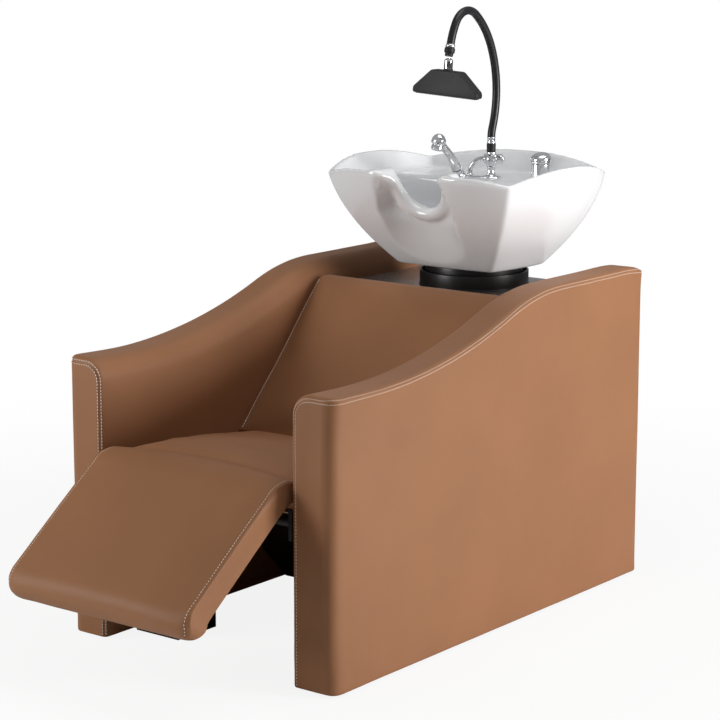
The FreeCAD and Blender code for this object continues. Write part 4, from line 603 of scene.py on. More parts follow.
def floor_finish():
    """White for the camera, with a soft shade near the middle; plain paint for all other light."""
    material, tree, shader, where = plain_material("pale_floor")
    tree.nodes.remove(shader)
    away = add_node(tree, "VectorMath", {0: where}, operation="LENGTH").outputs["Value"]
    fade = add_node(
        tree, "MapRange", {"From Min": 0.7, "From Max": 2.6, "To Min": 0.88, "To Max": 1, "Value": away},
        interpolation_type="SMOOTHSTEP",
    ).outputs["Result"]
    seen = add_node(tree, "LightPath", {}).outputs["Is Camera Ray"]
    part = add_node(tree, "Math", {0: seen, 1: fade}, operation="MULTIPLY").outputs[0]
    paint = add_node(tree, "BsdfDiffuse", {"Color": (0.9, 0.9, 0.9, 1)}).outputs[0]
    glow = add_node(tree, "Emission", {"Strength": 1}).outputs[0]
    mix = add_node(tree, "MixShader", {"Fac": part, 1: paint, 2: glow}).outputs[0]
    fill_sockets(tree, tree.nodes["Material Output"], {"Surface": mix})
    return material


def repaint(node, finish):
    """Give a CAD piece its finish."""
    slots = nodes[node].material_slots
    for place in slots:
        place.material = finishes[finish]
    if not slots:
        nodes[node].data.materials.append(finishes[finish])


class WASHSEAT_OT_finishes(bpy.types.Operator):
    """Make the materials and give every CAD piece its own"""

    bl_idname = "washseat.finishes"
    bl_label = "Finishes"

    def execute(self, context):
        scene = context.scene
        covers = scene.wash_seat_leather
        finishes.update({
            "tan_leather": leather_finish(covers.tan, covers.grain),
            "thread": thread_finish(covers.thread),
            "white_ceramic": glaze_finish(scene.wash_seat_basin.glaze),
            "chrome": mottled(
                "polished_chrome", (0.74, 0.75, 0.77), (0.80, 0.81, 0.83),
                cloud=(20, 2), gloss=(260, 3, 0.035, 0.09), relief=(45, 2, 0.04, 0.0006),
                sockets={"Metallic": 1},
            ),
            "bright_steel": mottled(
                "bright_zinc", (0.50, 0.51, 0.52), (0.66, 0.67, 0.68),
                cloud=(120, 3), gloss=(500, 4, 0.22, 0.38), relief=(900, 3, 0.1, 0.0001),
                sockets={"Metallic": 1},
            ),
            "plywood": plywood_finish(),
            "black_steel": dark_finish("black_powder_coat", (0.010, 0.010, 0.011), 0.42, 700, 0.0002),
            "black_satin": dark_finish(
                "black_satin_paint", (0.005, 0.005, 0.006), 0.34, 320, 0.00008, 0.15, 0.1,
            ),
            "black_plastic": dark_finish(
                "black_moulded_plastic", (0.008, 0.008, 0.009), 0.50, 1300, 0.0001, 0.3,
            ),
            "black_hose": dark_finish("black_hose_jacket", (0.008, 0.008, 0.010), 0.36, 240, 0.0002, 0.12),
            "black_panel": dark_finish("dark_board", (0.028, 0.027, 0.027), 0.36, 900, 0.00004, 0.1, 0.1),
            # The shelf's base colour is a mid grey, lighter than its dark satin paint: painted reflection.
            "shelf": dark_finish("satin_board_painted_reflection", (0.26, 0.23, 0.21), 0.25, 900, 0.00004, 0.1, 0.2),
            "belly": dark_finish("dark_lining", (0.014, 0.006, 0.004), 0.62, 900, 0.0002, 0.3),
        })
        for entry in frame["record"]["subparts"]:
            repaint(entry["node"], entry["material_slot"])
        for node, finish in (
            ("belly_panel", "belly"), ("shelf_top", "shelf"), ("tilt_pin_near", "black_satin"),
            ("tilt_pin_far", "black_satin"),
        ):
            repaint(node, finish)
        return {"FINISHED"}


# Arms

HALF_WIDTH = 350
ARM_WIDTH, ARM_LENGTH = 96, 1108
SWEEP_START, SWEEP_LENGTH, SWEEP_SHARE = 120, 655, 0.72
ARM_LOW, ARM_HIGH = 588, 708
SAG_START, SAG = 1020, 5
ARM_FOOT, FOOT_EDGE = 4, 5
ARM_PADDING = 5
SOFT_CORNER, TIGHT_EDGE = 28, 14
SEAM_ANGLE = 22
SEAM_END = 8
FRONT_BEND_ACROSS, FRONT_BEND = 294, 40
SEAM_FOOT = 10
SEAM_STEPS, BEND_STEPS = 90, 8
STITCH_GAP = 4
ARM_LINES = (
    [0, 0.02, 0.06, 0.12, 0.2, 0.3, 0.4, 0.5, 0.58, 0.66, 0.74, 0.81, 0.87, 0.92, 0.97, 1],
    lines_between(-ARM_PADDING, ARM_LENGTH + ARM_PADDING, 15, SOFT_CORNER),
    [0, 0.003, 0.009, 0.025, *(0.025 + 0.895 * step / 38 for step in range(1, 38)),
     0.92, 0.935, 0.95, 0.963, 0.974, 0.984, 0.992, 1],
)


def armrest_height(along):
    """Top of an arm at a distance from its front."""
    rise = ARM_HIGH - ARM_LOW
    whole = (SWEEP_LENGTH ** 2 + rise ** 2) / (2 * rise)
    step = along - SWEEP_START
    if step <= 0:
        return ARM_LOW
    if step >= SWEEP_LENGTH:
        return ARM_HIGH - SAG * max(0, (along - SAG_START) / (ARM_LENGTH - SAG_START)) ** 2
    if step <= SWEEP_LENGTH * SWEEP_SHARE:
        radius = whole * SWEEP_SHARE
        return ARM_LOW + radius - math.sqrt(radius ** 2 - step ** 2)
    radius = whole * (1 - SWEEP_SHARE)
    return ARM_HIGH - radius + math.sqrt(radius ** 2 - (SWEEP_LENGTH - step) ** 2)


def arm_point(side_share, along, up_share, hand):
    """Point of an arm: side_share is 0 outside and 1 inside, up_share 0 at the foot."""
    settings = bpy.context.scene.wash_seat_arms
    gap = ARM_PADDING + min(along, ARM_LENGTH - along)
    rear = along > ARM_LENGTH / 2
    outer = closing(gap, TIGHT_EDGE if rear else SOFT_CORNER) - ARM_PADDING
    inner = ARM_WIDTH + ARM_PADDING - closing(gap, TIGHT_EDGE * 0.7)
    drop = closing(gap, SOFT_CORNER if rear else TIGHT_EDGE)
    top = armrest_height(along) + ARM_PADDING - drop
    foot = ARM_FOOT + closing(gap, TIGHT_EDGE) * 0.25
    x = outer + (inner - outer) * side_share
    z = foot + (top - foot) * up_share
    radii = {
        (False, True): max(2, settings.outer_round / MM - drop),
        (True, True): max(6, settings.inner_round / MM - drop),
        (False, False): FOOT_EDGE, (True, False): FOOT_EDGE,
    }
    for (right, high), radius in radii.items():
        corner_x = inner - radius if right else outer + radius
        corner_z = top - radius if high else foot + radius
        dx, dz = x - corner_x, z - corner_z
        if dx and dz and (dx > 0) == right and (dz > 0) == high:
            dx, dz = square_to_round(dx, dz)
            x, z = corner_x + dx, corner_z + dz
            break
    return spot(hand * (HALF_WIDTH - x), along, z)


def arm_seam(hand, lift):
    """Seam of an arm: along the outer top edge, across the front and down inside it; lift moves it up."""
    turn = math.radians(SEAM_ANGLE) + lift / TIGHT_EDGE
    reach = TIGHT_EDGE * (1 + math.cos(turn)) + ARM_PADDING
    rise = TIGHT_EDGE * (math.sin(turn) - 1) + ARM_PADDING
    front = SOFT_CORNER - reach
    bend = FRONT_BEND + rise
    angles = [math.radians(90 * step / BEND_STEPS) for step in range(BEND_STEPS + 1)]
    line = []
    for step in range(SEAM_STEPS):
        along = ARM_LENGTH - SEAM_END - (ARM_LENGTH - SEAM_END - SOFT_CORNER) * step / SEAM_STEPS
        line.append((HALF_WIDTH - 2 * TIGHT_EDGE + reach, along, armrest_height(along) + rise))
    for angle in angles:
        across = HALF_WIDTH - SOFT_CORNER + reach * math.cos(angle)
        line.append((across, SOFT_CORNER - reach * math.sin(angle), ARM_LOW + rise))
    for angle in angles:
        across = FRONT_BEND_ACROSS - bend * math.sin(angle)
        line.append((across, front, ARM_LOW - FRONT_BEND + bend * math.cos(angle)))
    line.append((FRONT_BEND_ACROSS - bend, front, SEAM_FOOT))
    return [spot(hand * across, along, up) for across, along, up in line]


class WASHSEAT_OT_arms(bpy.types.Operator):
    """Make the two padded arms with their seams"""

    bl_idname = "washseat.arms"
    bl_label = "Arms"

    def execute(self, context):
        for side, hand in (("near", 1), ("far", -1)):
            piece = padded_cover(
                f"arm_leather_{side}", f"arm_cover_{side}", "chair", ARM_LINES,
                lambda *shares: arm_point(*shares, hand), context.scene.wash_seat_arms.swell,
                standing=True, groove=([arm_seam(hand, 0)], 2.8, 2.4),
            )
            rows = [arm_seam(hand, lift) for lift in (-STITCH_GAP, STITCH_GAP)]
            sew(f"arm_stitching_{side}", piece, rows, "chair")
        return {"FINISHED"}


# Seat

CUSHION_HALF = 253
SEAT_FRONT, SEAT_BACK = 14, 486
SEAT_SIDE, SEAT_END = 16, 20
SEAT_FOOT, SEAT_NOTCH = 322, 78
NOTCH_START, NOTCH_LENGTH = 95, 22
SEAT_EDGE_LINE = ((-30, 398), (46, 401), (137, 399), (294, 383), (425, 366), (500, 356))
SEAT_CROWN_LINE = ((-30, 20), (20, 26), (110, 34), (220, 30), (425, 4), (500, 0))
SEAT_SEAM, SEAT_SEAM_SHARE, SEAT_SEAM_RISE = 243, 0.96, 3
SEAT_SEAM_STEPS = range(90, 430, 10)
SEAT_LINES = (
    lines_between(-CUSHION_HALF, CUSHION_HALF, 15, 16), lines_between(SEAT_FRONT, SEAT_BACK, 14, 18),
    [0, 0.06, 0.2, 0.4, 0.6, 0.8, 0.94, 1],
)


def seat_top_at(across_share, along):
    """Height of the seat at a share of its half width and a distance from the arm fronts."""
    edge, crown = (float(np.interp(along, *zip(*line))) for line in (SEAT_EDGE_LINE, SEAT_CROWN_LINE))
    return edge + crown * (1 - abs(across_share) ** 2.2)


def seat_point(x, along, share):
    """Point of the seat's cushion; share is 0 on its underside and 1 on its top."""
    drop = closing(min(CUSHION_HALF - abs(x), SEAT_SIDE), SEAT_SIDE) * 0.7
    drop += closing(min(along - SEAT_FRONT, SEAT_END), SEAT_END)
    top = seat_top_at(x / CUSHION_HALF, along) - drop
    low = SEAT_FOOT + SEAT_NOTCH * (1 - smoothstep((along - NOTCH_START) / NOTCH_LENGTH))
    low = min(low, top - 6)
    inward = closing(min(share, 1 - share) * 40, 12) * 0.3
    if CUSHION_HALF - abs(x) < 1e-6:
        x -= math.copysign(inward, x)
    return spot(x, along, low + (top - low) * share)


class WASHSEAT_OT_seat(bpy.types.Operator):
    """Make the seat cushion with its side seams"""

    bl_idname = "washseat.seat"
    bl_label = "Seat"

    def execute(self, context):
        piece = padded_cover(
            "seat_cushion_leather", "seat_cushion", "chair", SEAT_LINES, seat_point,
            context.scene.wash_seat_cushions.seat_swell,
        )
        rows = [
            [
                spot(hand * SEAT_SEAM, along, seat_top_at(hand * SEAT_SEAM_SHARE, along) + SEAT_SEAM_RISE)
                for along in SEAT_SEAM_STEPS
            ]
            for hand in (-1, 1)
        ]
        sew("seat_stitching", piece, rows, "chair")
        return {"FINISHED"}


# Backrest

BACK_ANGLE = math.radians(47.2)
BACK_FOOT = (420, 373)
BACK_LENGTH, BACK_DEPTH = 427, 70
BACK_CORNER, BACK_CROWN = 26, 12
BACK_SIDE, BACK_END = 14, 16
BACK_SEAM, BACK_STITCHES = 244, 239
BACK_LINES = (
    lines_between(-CUSHION_HALF, CUSHION_HALF, 15, 14), lines_between(0, BACK_LENGTH, 15, 16),
    [0, 0.08, 0.25, 0.45, 0.65, 0.82, 0.94, 1],
)


def on_back(across, up_slope, out):
    """Point on the backrest, up its slope and out of its face."""
    along = BACK_FOOT[0] + up_slope * math.cos(BACK_ANGLE) - out * math.sin(BACK_ANGLE)
    height = BACK_FOOT[1] + up_slope * math.sin(BACK_ANGLE) + out * math.cos(BACK_ANGLE)
    return spot(across, along, height)


def back_point(x, up, share):
    """Point of the backrest's cushion; share is 0 on its rear and 1 on its face."""
    side_gap, end_gap = CUSHION_HALF - abs(x), BACK_LENGTH - up
    dx, dy = BACK_CORNER - side_gap, BACK_CORNER - end_gap
    if dx > 0 and dy > 0:
        dx, dy = square_to_round(dx, dy)
        x = math.copysign(CUSHION_HALF - BACK_CORNER + dx, x)
        up = BACK_LENGTH - BACK_CORNER + dy
    crown = BACK_CROWN * (1 - abs(x / CUSHION_HALF) ** 2.4)
    crown *= smoothstep(up / 90) * smoothstep((end_gap + 30) / 80)
    drop = closing(min(side_gap, BACK_SIDE), BACK_SIDE) * 0.8 + closing(min(end_gap, BACK_END), BACK_END)
    return on_back(x, up, (crown - drop + BACK_DEPTH) * share - BACK_DEPTH)


class WASHSEAT_OT_backrest(bpy.types.Operator):
    """Make the backrest cushion with its side seams"""

    bl_idname = "washseat.backrest"
    bl_label = "Backrest"

    def execute(self, context):
        seams = [[on_back(hand * BACK_SEAM, up, 1) for up in range(6, 420, 12)] for hand in (-1, 1)]
        piece = padded_cover(
            "backrest_leather", "backrest_cushion", "chair", BACK_LINES, back_point,
            context.scene.wash_seat_cushions.back_swell, room=2 * MM, groove=(seams, 2.4, 3),
        )
        rows = [[on_back(hand * BACK_STITCHES, up, 2) for up in range(6, 416, 10)] for hand in (-1, 1)]
        sew("backrest_stitching", piece, rows, "chair")
        return {"FINISHED"}


# Legrest

PIVOT = (22, 332)
LEGREST_DROP = math.radians(37)
LEGREST_HALF, LEGREST_NOSE = 240, 341
LEGREST_UNDER, LEGREST_TOP = 39, 97
LEGREST_CROWN, LEGREST_EDGE, LEGREST_CORNER = 9, 12, 24
NOSE_FOOT_DROP = 8
ROLL_START, ROLL_END, ROLL_RADIUS = 20, -66, 62
ROLL_TURN, ROLL_TURN_RATE = 66, 0.76
NOSE_ROLL = 42
FLAT_START = 36
GATHER_DEPTH, GATHER_PITCH = 1.4, 6.5
GATHER_START, GATHER_FADE = 190, 45
GATHER_MIDDLE, GATHER_REACH = 8, 46
LEGREST_SEAM, LEGREST_STITCHES = 237, 230
LEGREST_LINES = (
    lines_between(-LEGREST_HALF, LEGREST_HALF, 15, 14),
    [
        ROLL_END, -60, -52, -44, -34, -24, -14, -4, 6, 16, 26, FLAT_START,
        *(FLAT_START + (LEGREST_NOSE - NOSE_ROLL - FLAT_START) * step / 18 for step in range(1, 19)),
        *(
            LEGREST_NOSE - NOSE_ROLL + NOSE_ROLL * math.sin(math.radians(90 * step / 8))
            for step in range(1, 9)
        ),
    ],
    [0, 0.06, 0.18, 0.35, 0.5, 0.65, 0.82, 0.94, 1],
)


def on_legrest(across, reach, out):
    """Point on the legrest: reach from the shaft towards the nose, out of its top face."""
    along = PIVOT[0] - reach * math.cos(LEGREST_DROP) - out * math.sin(LEGREST_DROP)
    height = PIVOT[1] - reach * math.sin(LEGREST_DROP) + out * math.cos(LEGREST_DROP)
    return spot(across, along, height)


def legrest_point(x, reach, share):
    """Point of the legrest's cushion; share is 0 on its underside and 1 on its top."""
    side_gap = LEGREST_HALF - abs(x)
    crown = LEGREST_CROWN * (1 - abs(x / LEGREST_HALF) ** 2.4)
    edge_drop = closing(min(side_gap, LEGREST_EDGE), LEGREST_EDGE) * 0.8
    gathers = math.sin(reach / GATHER_PITCH) * smoothstep((abs(x) - GATHER_START) / GATHER_FADE)
    gathers *= smoothstep(1 - abs(reach - GATHER_MIDDLE) / GATHER_REACH)
    top = LEGREST_TOP + crown - edge_drop + GATHER_DEPTH * gathers
    if reach < ROLL_START:
        past = ROLL_START - reach
        swing = math.radians(min(ROLL_TURN, past * ROLL_TURN_RATE))
        fall = smoothstep(past / (ROLL_START - ROLL_END))
        high = top * (1 - fall) + (ROLL_RADIUS + crown * 1.8 - edge_drop) * fall
        radius = LEGREST_UNDER + (high - LEGREST_UNDER) * share
        start = ROLL_START * (1 - smoothstep(past / 40))
        return on_legrest(x, start - radius * math.sin(swing), radius * math.cos(swing))
    turn = max(0, (reach - LEGREST_NOSE + NOSE_ROLL) / NOSE_ROLL)
    foot = LEGREST_UNDER - NOSE_FOOT_DROP * smoothstep((reach - 300) / 25)
    corner = closing(min(side_gap, LEGREST_CORNER), LEGREST_CORNER)
    reach -= corner * smoothstep((reach - LEGREST_NOSE + 90) / 90)
    if turn > 0:
        middle = (LEGREST_UNDER + LEGREST_TOP) / 2 - 4
        top = middle + (top - middle) * (0.08 + 0.92 * math.sqrt(max(0, 1 - turn * turn)))
        foot = middle + (foot - middle) * (0.08 + 0.92 * math.sqrt(max(0, 1 - turn ** 4)))
    return on_legrest(x, reach, foot + (top - foot) * share)


def legrest_seam(hand, across):
    """Seam beside the top face, from the roll under the seat over the nose."""
    line = [legrest_point(hand * across, reach, 1) for reach in range(ROLL_END, LEGREST_NOSE, 5)]
    line += [legrest_point(hand * (across - 2), LEGREST_NOSE, share) for share in (0.9, 0.5, 0.2)]
    return line


class WASHSEAT_OT_legrest(bpy.types.Operator):
    """Make the legrest cushion, which rolls into the crease in front of the seat"""

    bl_idname = "washseat.legrest"
    bl_label = "Legrest"

    def execute(self, context):
        seams, rows = (
            [legrest_seam(hand, across) for hand in (-1, 1)] for across in (LEGREST_SEAM, LEGREST_STITCHES)
        )
        piece = padded_cover(
            "legrest_leather", "legrest_cushion", "legrest", LEGREST_LINES, legrest_point,
            context.scene.wash_seat_cushions.legrest_swell, room=2 * MM, groove=(seams, 2.6, 3),
        )
        sew("legrest_stitching", piece, rows, "legrest")
        return {"FINISHED"}


# Basin

INWARD, OUTWARD = 0.62, -0.34
LIP_END = (103, 714, 924)
LIP_PASSES, LIP_INWARD = 110, 0.5
NARROWING = 24
NOTCH_HALF, NOTCH_FADE = 92, 110
NOTCH_LOW, NOTCH_RISE = 800, 100
NOTCH_REAR, NOTCH_REAR_FADE = 735, 50


def narrowing(places):
    """Shift of the points beside the neck notch towards the middle."""
    across = np.abs(places[:, 0]) / MM
    along = (places[:, 1] - ARM_FRONT) / MM
    outside = 1 - smoothstep((across - NOTCH_HALF) / NOTCH_FADE)
    weight = np.where(across < NOTCH_HALF, across / NOTCH_HALF, outside)
    weight = weight * smoothstep((places[:, 2] / MM - NOTCH_LOW) / NOTCH_RISE)
    weight = weight * (1 - smoothstep((along - NOTCH_REAR) / NOTCH_REAR_FADE))
    return -np.sign(places[:, 0]) * NARROWING * MM * weight


def soften(places, edges, passes, inward, outward, weight=1):
    """Smooth a surface in pairs of steps, of which a negative second one keeps its size."""
    count = len(places)
    ends = np.concatenate([edges, edges[:, ::-1]])
    share = np.bincount(ends[:, 0], minlength=count)[:, None]
    for _ in range(passes):
        for step in (inward, outward):
            total = np.stack([
                np.bincount(ends[:, 0], weights=places[ends[:, 1], axis], minlength=count)
                for axis in range(3)
            ], axis=1)
            places = places + step * weight * (total / share - places)
    return places


class WASHSEAT_OT_basin(bpy.types.Operator):
    """Make the glazed basin from the CAD form, with all its edges rounded as in a casting"""

    bl_idname = "washseat.basin"
    bl_label = "Basin"

    def execute(self, context):
        settings = context.scene.wash_seat_basin
        bm = bmesh.new()
        bm.from_mesh(nodes["basin"].data)
        bmesh.ops.remove_doubles(bm, verts=bm.verts, dist=1e-6)
        bmesh.ops.recalc_face_normals(bm, faces=bm.faces)
        piece = finish_piece("basin_ceramic", bm, "basin_unit", "white_ceramic", "basin")
        grid = piece.modifiers.new("grid", "REMESH")
        grid.mode = "VOXEL"
        grid.voxel_size = settings.grid
        apply_modifiers(piece)
        mesh = piece.data
        edges = np.zeros(len(mesh.edges) * 2, dtype=np.int32)
        mesh.edges.foreach_get("vertices", edges)
        edges = edges.reshape(-1, 2)
        places = soften(points_of(mesh), edges, settings.passes, INWARD, OUTWARD)
        near_lip = np.zeros(len(places))
        for hand in (-1, 1):
            lip_end = np.array(spot(hand * LIP_END[0], *LIP_END[1:]))
            gap = np.linalg.norm(places - lip_end, axis=1) / settings.lip_softening
            near_lip = np.maximum(near_lip, np.exp(-gap * gap))
        places = soften(places, edges, LIP_PASSES, LIP_INWARD, 0, near_lip[:, None])
        places[:, 0] += narrowing(places)
        mesh.polygons.foreach_set("use_smooth", [True] * len(mesh.polygons))
        move_points(mesh, places)
        return {"FINISHED"}


# Ring and taps

DECK = 892
RING_SPOT = (0, 955, 655)
VALVE_ALONG, VALVE_AXIS = 1018, 42
PLATE_REACH = 28
SHOWER_SPOT = (-68.5, 993)
MIXER_SPOT = (151, 994)
LINK = Vector((SHOWER_SPOT[0], SHOWER_SPOT[1] - VALVE_ALONG, 0)).normalized()
LINK_BEND, LINK_STEPS = 33, 14
PEG = (8.5, -30, -1)


class WASHSEAT_OT_ring(bpy.types.Operator):
    """Make the black ring and the collar that carry the basin"""

    bl_idname = "washseat.ring"
    bl_label = "Ring"

    def execute(self, context):
        base = Matrix.Translation(spot(*RING_SPOT))
        for name, node, body, rounding, profile in (
            ("ring_turned", "basin_ring", "chair", 1.6, [
                (119.5, 0.5), (119.5, 35), (124, 35), (124, 4), (126, 0), (119.5, 0.5),
            ]),
            ("collar_turned", "tilt_collar", "basin_unit", 1.5, [
                (108, 19), (108, 45), (30, 45), (30, 49.5), (112, 49.5), (112, 19), (108, 19),
            ]),
        ):
            bm = bmesh.new()
            spun(bm, profile, rounding, base, 96, closed=True)
            finish_piece(name, bm, body, "black_satin", node, crisp=35)
        return {"FINISHED"}


def faceted_grip(bm, radius, depth, sides, place):
    """Faceted grip with bevelled edges."""
    made = bmesh.ops.create_cone(
        bm, cap_ends=True, segments=sides, radius1=radius * MM, radius2=radius * MM, depth=depth * MM,
        matrix=Matrix.Identity(4),
    )["verts"]
    faces = round_edges(bm, {edge for vert in made for edge in vert.link_edges}, radius * 0.14, 2)["faces"]
    corners = [vert for face in faces for vert in face.verts]
    group = joined_to(corners + [vert for vert in made if vert.is_valid])
    bmesh.ops.transform(bm, matrix=place, verts=list(group))


class WASHSEAT_OT_valve(bpy.types.Operator):
    """Make the spray valve with its plate, knob and link pipe"""

    bl_idname = "washseat.valve"
    bl_label = "Spray valve"

    def execute(self, context):
        foot = spot(0, VALVE_ALONG, DECK)
        upright = Matrix.Translation(foot)
        centre = foot + Vector((0, 0, VALVE_AXIS * MM))

        bm = bmesh.new()
        spun(bm, [
            (0, -1), (23.5, -1), (23.5, 1.6), (19.5, 4.2), (11.5, 5.2), (9.8, 11), (8.8, 17), (10.5, 25.5),
            (0, 26.2),
        ], 1.2, upright, 48)
        heading = math.atan2(LINK.y, LINK.x)
        plate = Matrix.Translation(foot + LINK * PLATE_REACH * MM) @ Matrix.Rotation(heading, 4, "Z")
        slab(bm, plate, (54, 21, 5.6), 2, 3)
        peg(bm, *PEG, upright)
        finish_piece("valve_stem_turned", bm, "basin_unit", "chrome", "valve_stem", crisp=50)

        bm = bmesh.new()
        spun(bm, [
            (0, 26), (11.2, 26.2), (12.8, 29.5), (14.5, 36.5), (14.7, 42.5), (12.8, 49.5), (10.4, 53.5),
            (10.4, 58), (0, 58),
        ], 1.4, upright, 48)
        spun(bm, [
            (0, -14.5), (9.8, -14.5), (11.2, -12), (11.2, 13), (9.2, 16.5), (7.2, 17.5), (0, 17.5),
        ], 1, tilted(centre, LINK))
        finish_piece("valve_body_turned", bm, "basin_unit", "chrome", "valve_body", crisp=50)

        bm = bmesh.new()
        faceted_grip(bm, 11.5, 12.5, 8, tilted(centre - LINK * 20.8 * MM, LINK))
        spun(bm, [
            (0, 0), (6.5, 0), (6.2, 3.5), (3, 5.5), (0, 6),
        ], 1, tilted(centre - LINK * 26.5 * MM, -LINK), 24)
        peg(bm, 3.8, -8, 0, tilted(centre - LINK * 14.5 * MM, -LINK), 16)
        finish_piece("valve_knob_cut", bm, "knob", "chrome", "valve_knob", crisp=25)

        bm = bmesh.new()
        start = centre + LINK * 16.5 * MM
        route = []
        for step in range(LINK_STEPS + 1):
            angle = math.radians(90 * step / LINK_STEPS)
            fall = Vector((0, 0, LINK_BEND * MM * (1 - math.cos(angle))))
            route.append(start + LINK * LINK_BEND * MM * math.sin(angle) - fall)
        route.append(route[-1] - Vector((0, 0, 6 * MM)))
        swept(bm, route, [5.8] * len(route), 20)
        end = Matrix.Translation(route[-1] + Vector((0, 0, 0.2 * MM)))
        spun(bm, [(5.8, 0), (8.2, 0.5), (8.2, 3.8), (5.8, 5)], 0.8, end, 24)
        finish_piece("link_pipe_bent", bm, "basin_unit", "chrome", "link_pipe", crisp=50)
        return {"FINISHED"}


SHOWER_KNEE = 898
SHOWER_LEAN, OUTLET_TURN = math.radians(46), math.radians(160)
SHOWER_AXIS = Vector((0, -math.sin(SHOWER_LEAN), math.cos(SHOWER_LEAN)))
SHOWER_ACROSS = Vector((0, -math.cos(SHOWER_LEAN), -math.sin(SHOWER_LEAN)))
HANDLE_LENGTHS = (18.5, 19.5, 24, 32, 45, 60, 75, 88, 97, 103)
HANDLE_RADII = (11.2, 12, 12.3, 11.2, 9.6, 9.1, 8.8, 8.8, 9.5, 9.6)
HANDLE_BOW = 4.2
HEAD_REACH = 117


def on_shower(distance, sideways=0):
    """Point along the hand shower's axis, counted from the knee of its socket."""
    return spot(*SHOWER_SPOT, SHOWER_KNEE) + SHOWER_AXIS * distance * MM + SHOWER_ACROSS * sideways * MM


class WASHSEAT_OT_hand_shower(bpy.types.Operator):
    """Make the hand shower and its leaning socket"""

    bl_idname = "washseat.hand_shower"
    bl_label = "Hand shower"

    def execute(self, context):
        upright = Matrix.Translation(spot(*SHOWER_SPOT, DECK))
        bm = bmesh.new()
        spun(bm, [(0, -1), (16.5, -1), (16.5, 2), (14, 4.5), (12.5, 7.5), (0, 7.5)], 1, upright)
        peg(bm, *PEG, upright)
        spun(bm, [
            (0, -9.5), (8, -7.5), (11.8, -1), (12.4, 6), (12.8, 16), (12.4, 18), (8.2, 18), (8.2, 9), (0, 9),
        ], 1.2, tilted(on_shower(0), SHOWER_AXIS))
        finish_piece("shower_socket_turned", bm, "basin_unit", "chrome", "shower_socket", crisp=50)

        bm = bmesh.new()
        first, last = HANDLE_LENGTHS[0], HANDLE_LENGTHS[-1]
        swept(bm, [
            on_shower(reach, -HANDLE_BOW * math.sin(math.pi * (reach - first) / (last - first)))
            for reach in HANDLE_LENGTHS
        ], HANDLE_RADII, 28)
        peg(bm, 7.8, -9, 2, tilted(on_shower(first), SHOWER_AXIS))
        finish_piece("shower_handle_formed", bm, "hand_shower", "chrome", "shower_handle", crisp=50)

        bm = bmesh.new()
        outlet = Vector((0, -math.sin(OUTLET_TURN), math.cos(OUTLET_TURN)))
        spun(bm, [
            (0, -16.5), (6, -15.5), (11.5, -11.8), (15.5, -5.5), (16.4, 1), (15.6, 6.5), (13.4, 9.8),
            (12.8, 11.2), (13.7, 12.5), (13.7, 20.5), (12.8, 21.5), (10.8, 21.7), (10.4, 20.3), (0, 20.3),
        ], 0.7, tilted(on_shower(HEAD_REACH), outlet), steps=2)
        finish_piece("shower_head_turned", bm, "hand_shower", "chrome", "shower_head", crisp=50)
        return {"FINISHED"}


DOME_RADIUS, DOME_HEIGHT, DOME_FOOT = 22, 22.5, 51.5
DOME_STEPS, DOME_POWER = 13, 0.72
DOME_FRONT_SHARE, DOME_REAR_GAIN = 0.5, 0.4
LEVER_DOT, LEVER_DOT_RADIUS = Vector((-20.5, -6, 54.5)), 3.5


class WASHSEAT_OT_mixer(bpy.types.Operator):
    """Make the mixer with its turning ring and domed lever"""

    bl_idname = "washseat.mixer"
    bl_label = "Mixer"

    def execute(self, context):
        foot = spot(*MIXER_SPOT, DECK)
        upright = Matrix.Translation(foot)
        bm = bmesh.new()
        spun(
            bm, [(0, -1), (23.2, -1), (23.2, 2.2), (21.8, 3.2), (21.6, 43.2), (0, 43.8)], 0.8, upright, 64,
        )
        peg(bm, *PEG, upright)
        finish_piece("mixer_body_turned", bm, "basin_unit", "chrome", "mixer_body", crisp=50)

        bm = bmesh.new()
        spun(bm, [
            (0, 44.1), (21.4, 44.1), (21.6, 44.6), (21.6, 48.8), (21.4, 49.3), (0, 49.3),
        ], 0.3, upright, 64, 2)
        finish_piece("mixer_ring_turned", bm, "mixer_ring", "chrome", "mixer_cap", crisp=50)

        bm = bmesh.new()
        dome = [(0, 49.6), (21.6, 49.6), (DOME_RADIUS, 50.2)]
        for step in range(DOME_STEPS):
            angle = math.radians(90 * step / DOME_STEPS)
            height = DOME_FOOT + DOME_HEIGHT * math.sin(angle) ** DOME_POWER
            dome.append((DOME_RADIUS * math.cos(angle) ** DOME_POWER, height))
        dome.append((0, DOME_FOOT + DOME_HEIGHT))
        low = foot.z + DOME_FOOT * MM
        for vert in spun(bm, dome, 0, upright, 64):
            over = vert.co.z - low
            if over > 0:
                share = ((vert.co.y - foot.y) / MM + DOME_RADIUS) / (2 * DOME_RADIUS)
                vert.co.z = low + over * (DOME_FRONT_SHARE + DOME_REAR_GAIN * share)
        bmesh.ops.create_uvsphere(
            bm, u_segments=16, v_segments=10, radius=LEVER_DOT_RADIUS * MM,
            matrix=Matrix.Translation(foot + LEVER_DOT * MM),
        )
        finish_piece("mixer_lever_domed", bm, "mixer_handle", "chrome", "mixer_lever", crisp=50)
        return {"FINISHED"}


# Spray arm

ARM_COLLAR = 950.3
HOSE_START, HOSE_RADIUS = 983.3, 9.1
HOSE_BENDS = ((60, 19.9), (242.4, -45.2), (187.8, -29.0), (53.4, -94.8), (170.6, -16.9))
NECK_REACH = 23
HEAD_ROLL = math.radians(3)
HEAD_DROP = 34
HEAD_HALF_TOP, HEAD_HALF_FOOT, HEAD_HEIGHT, HEAD_EDGE, HEAD_DEPTH = 38, 87, 55, 13, 12
NOZZLE_PITCH, NOZZLE_ROW, NOZZLE_COUNT = 6, 4.2, 27


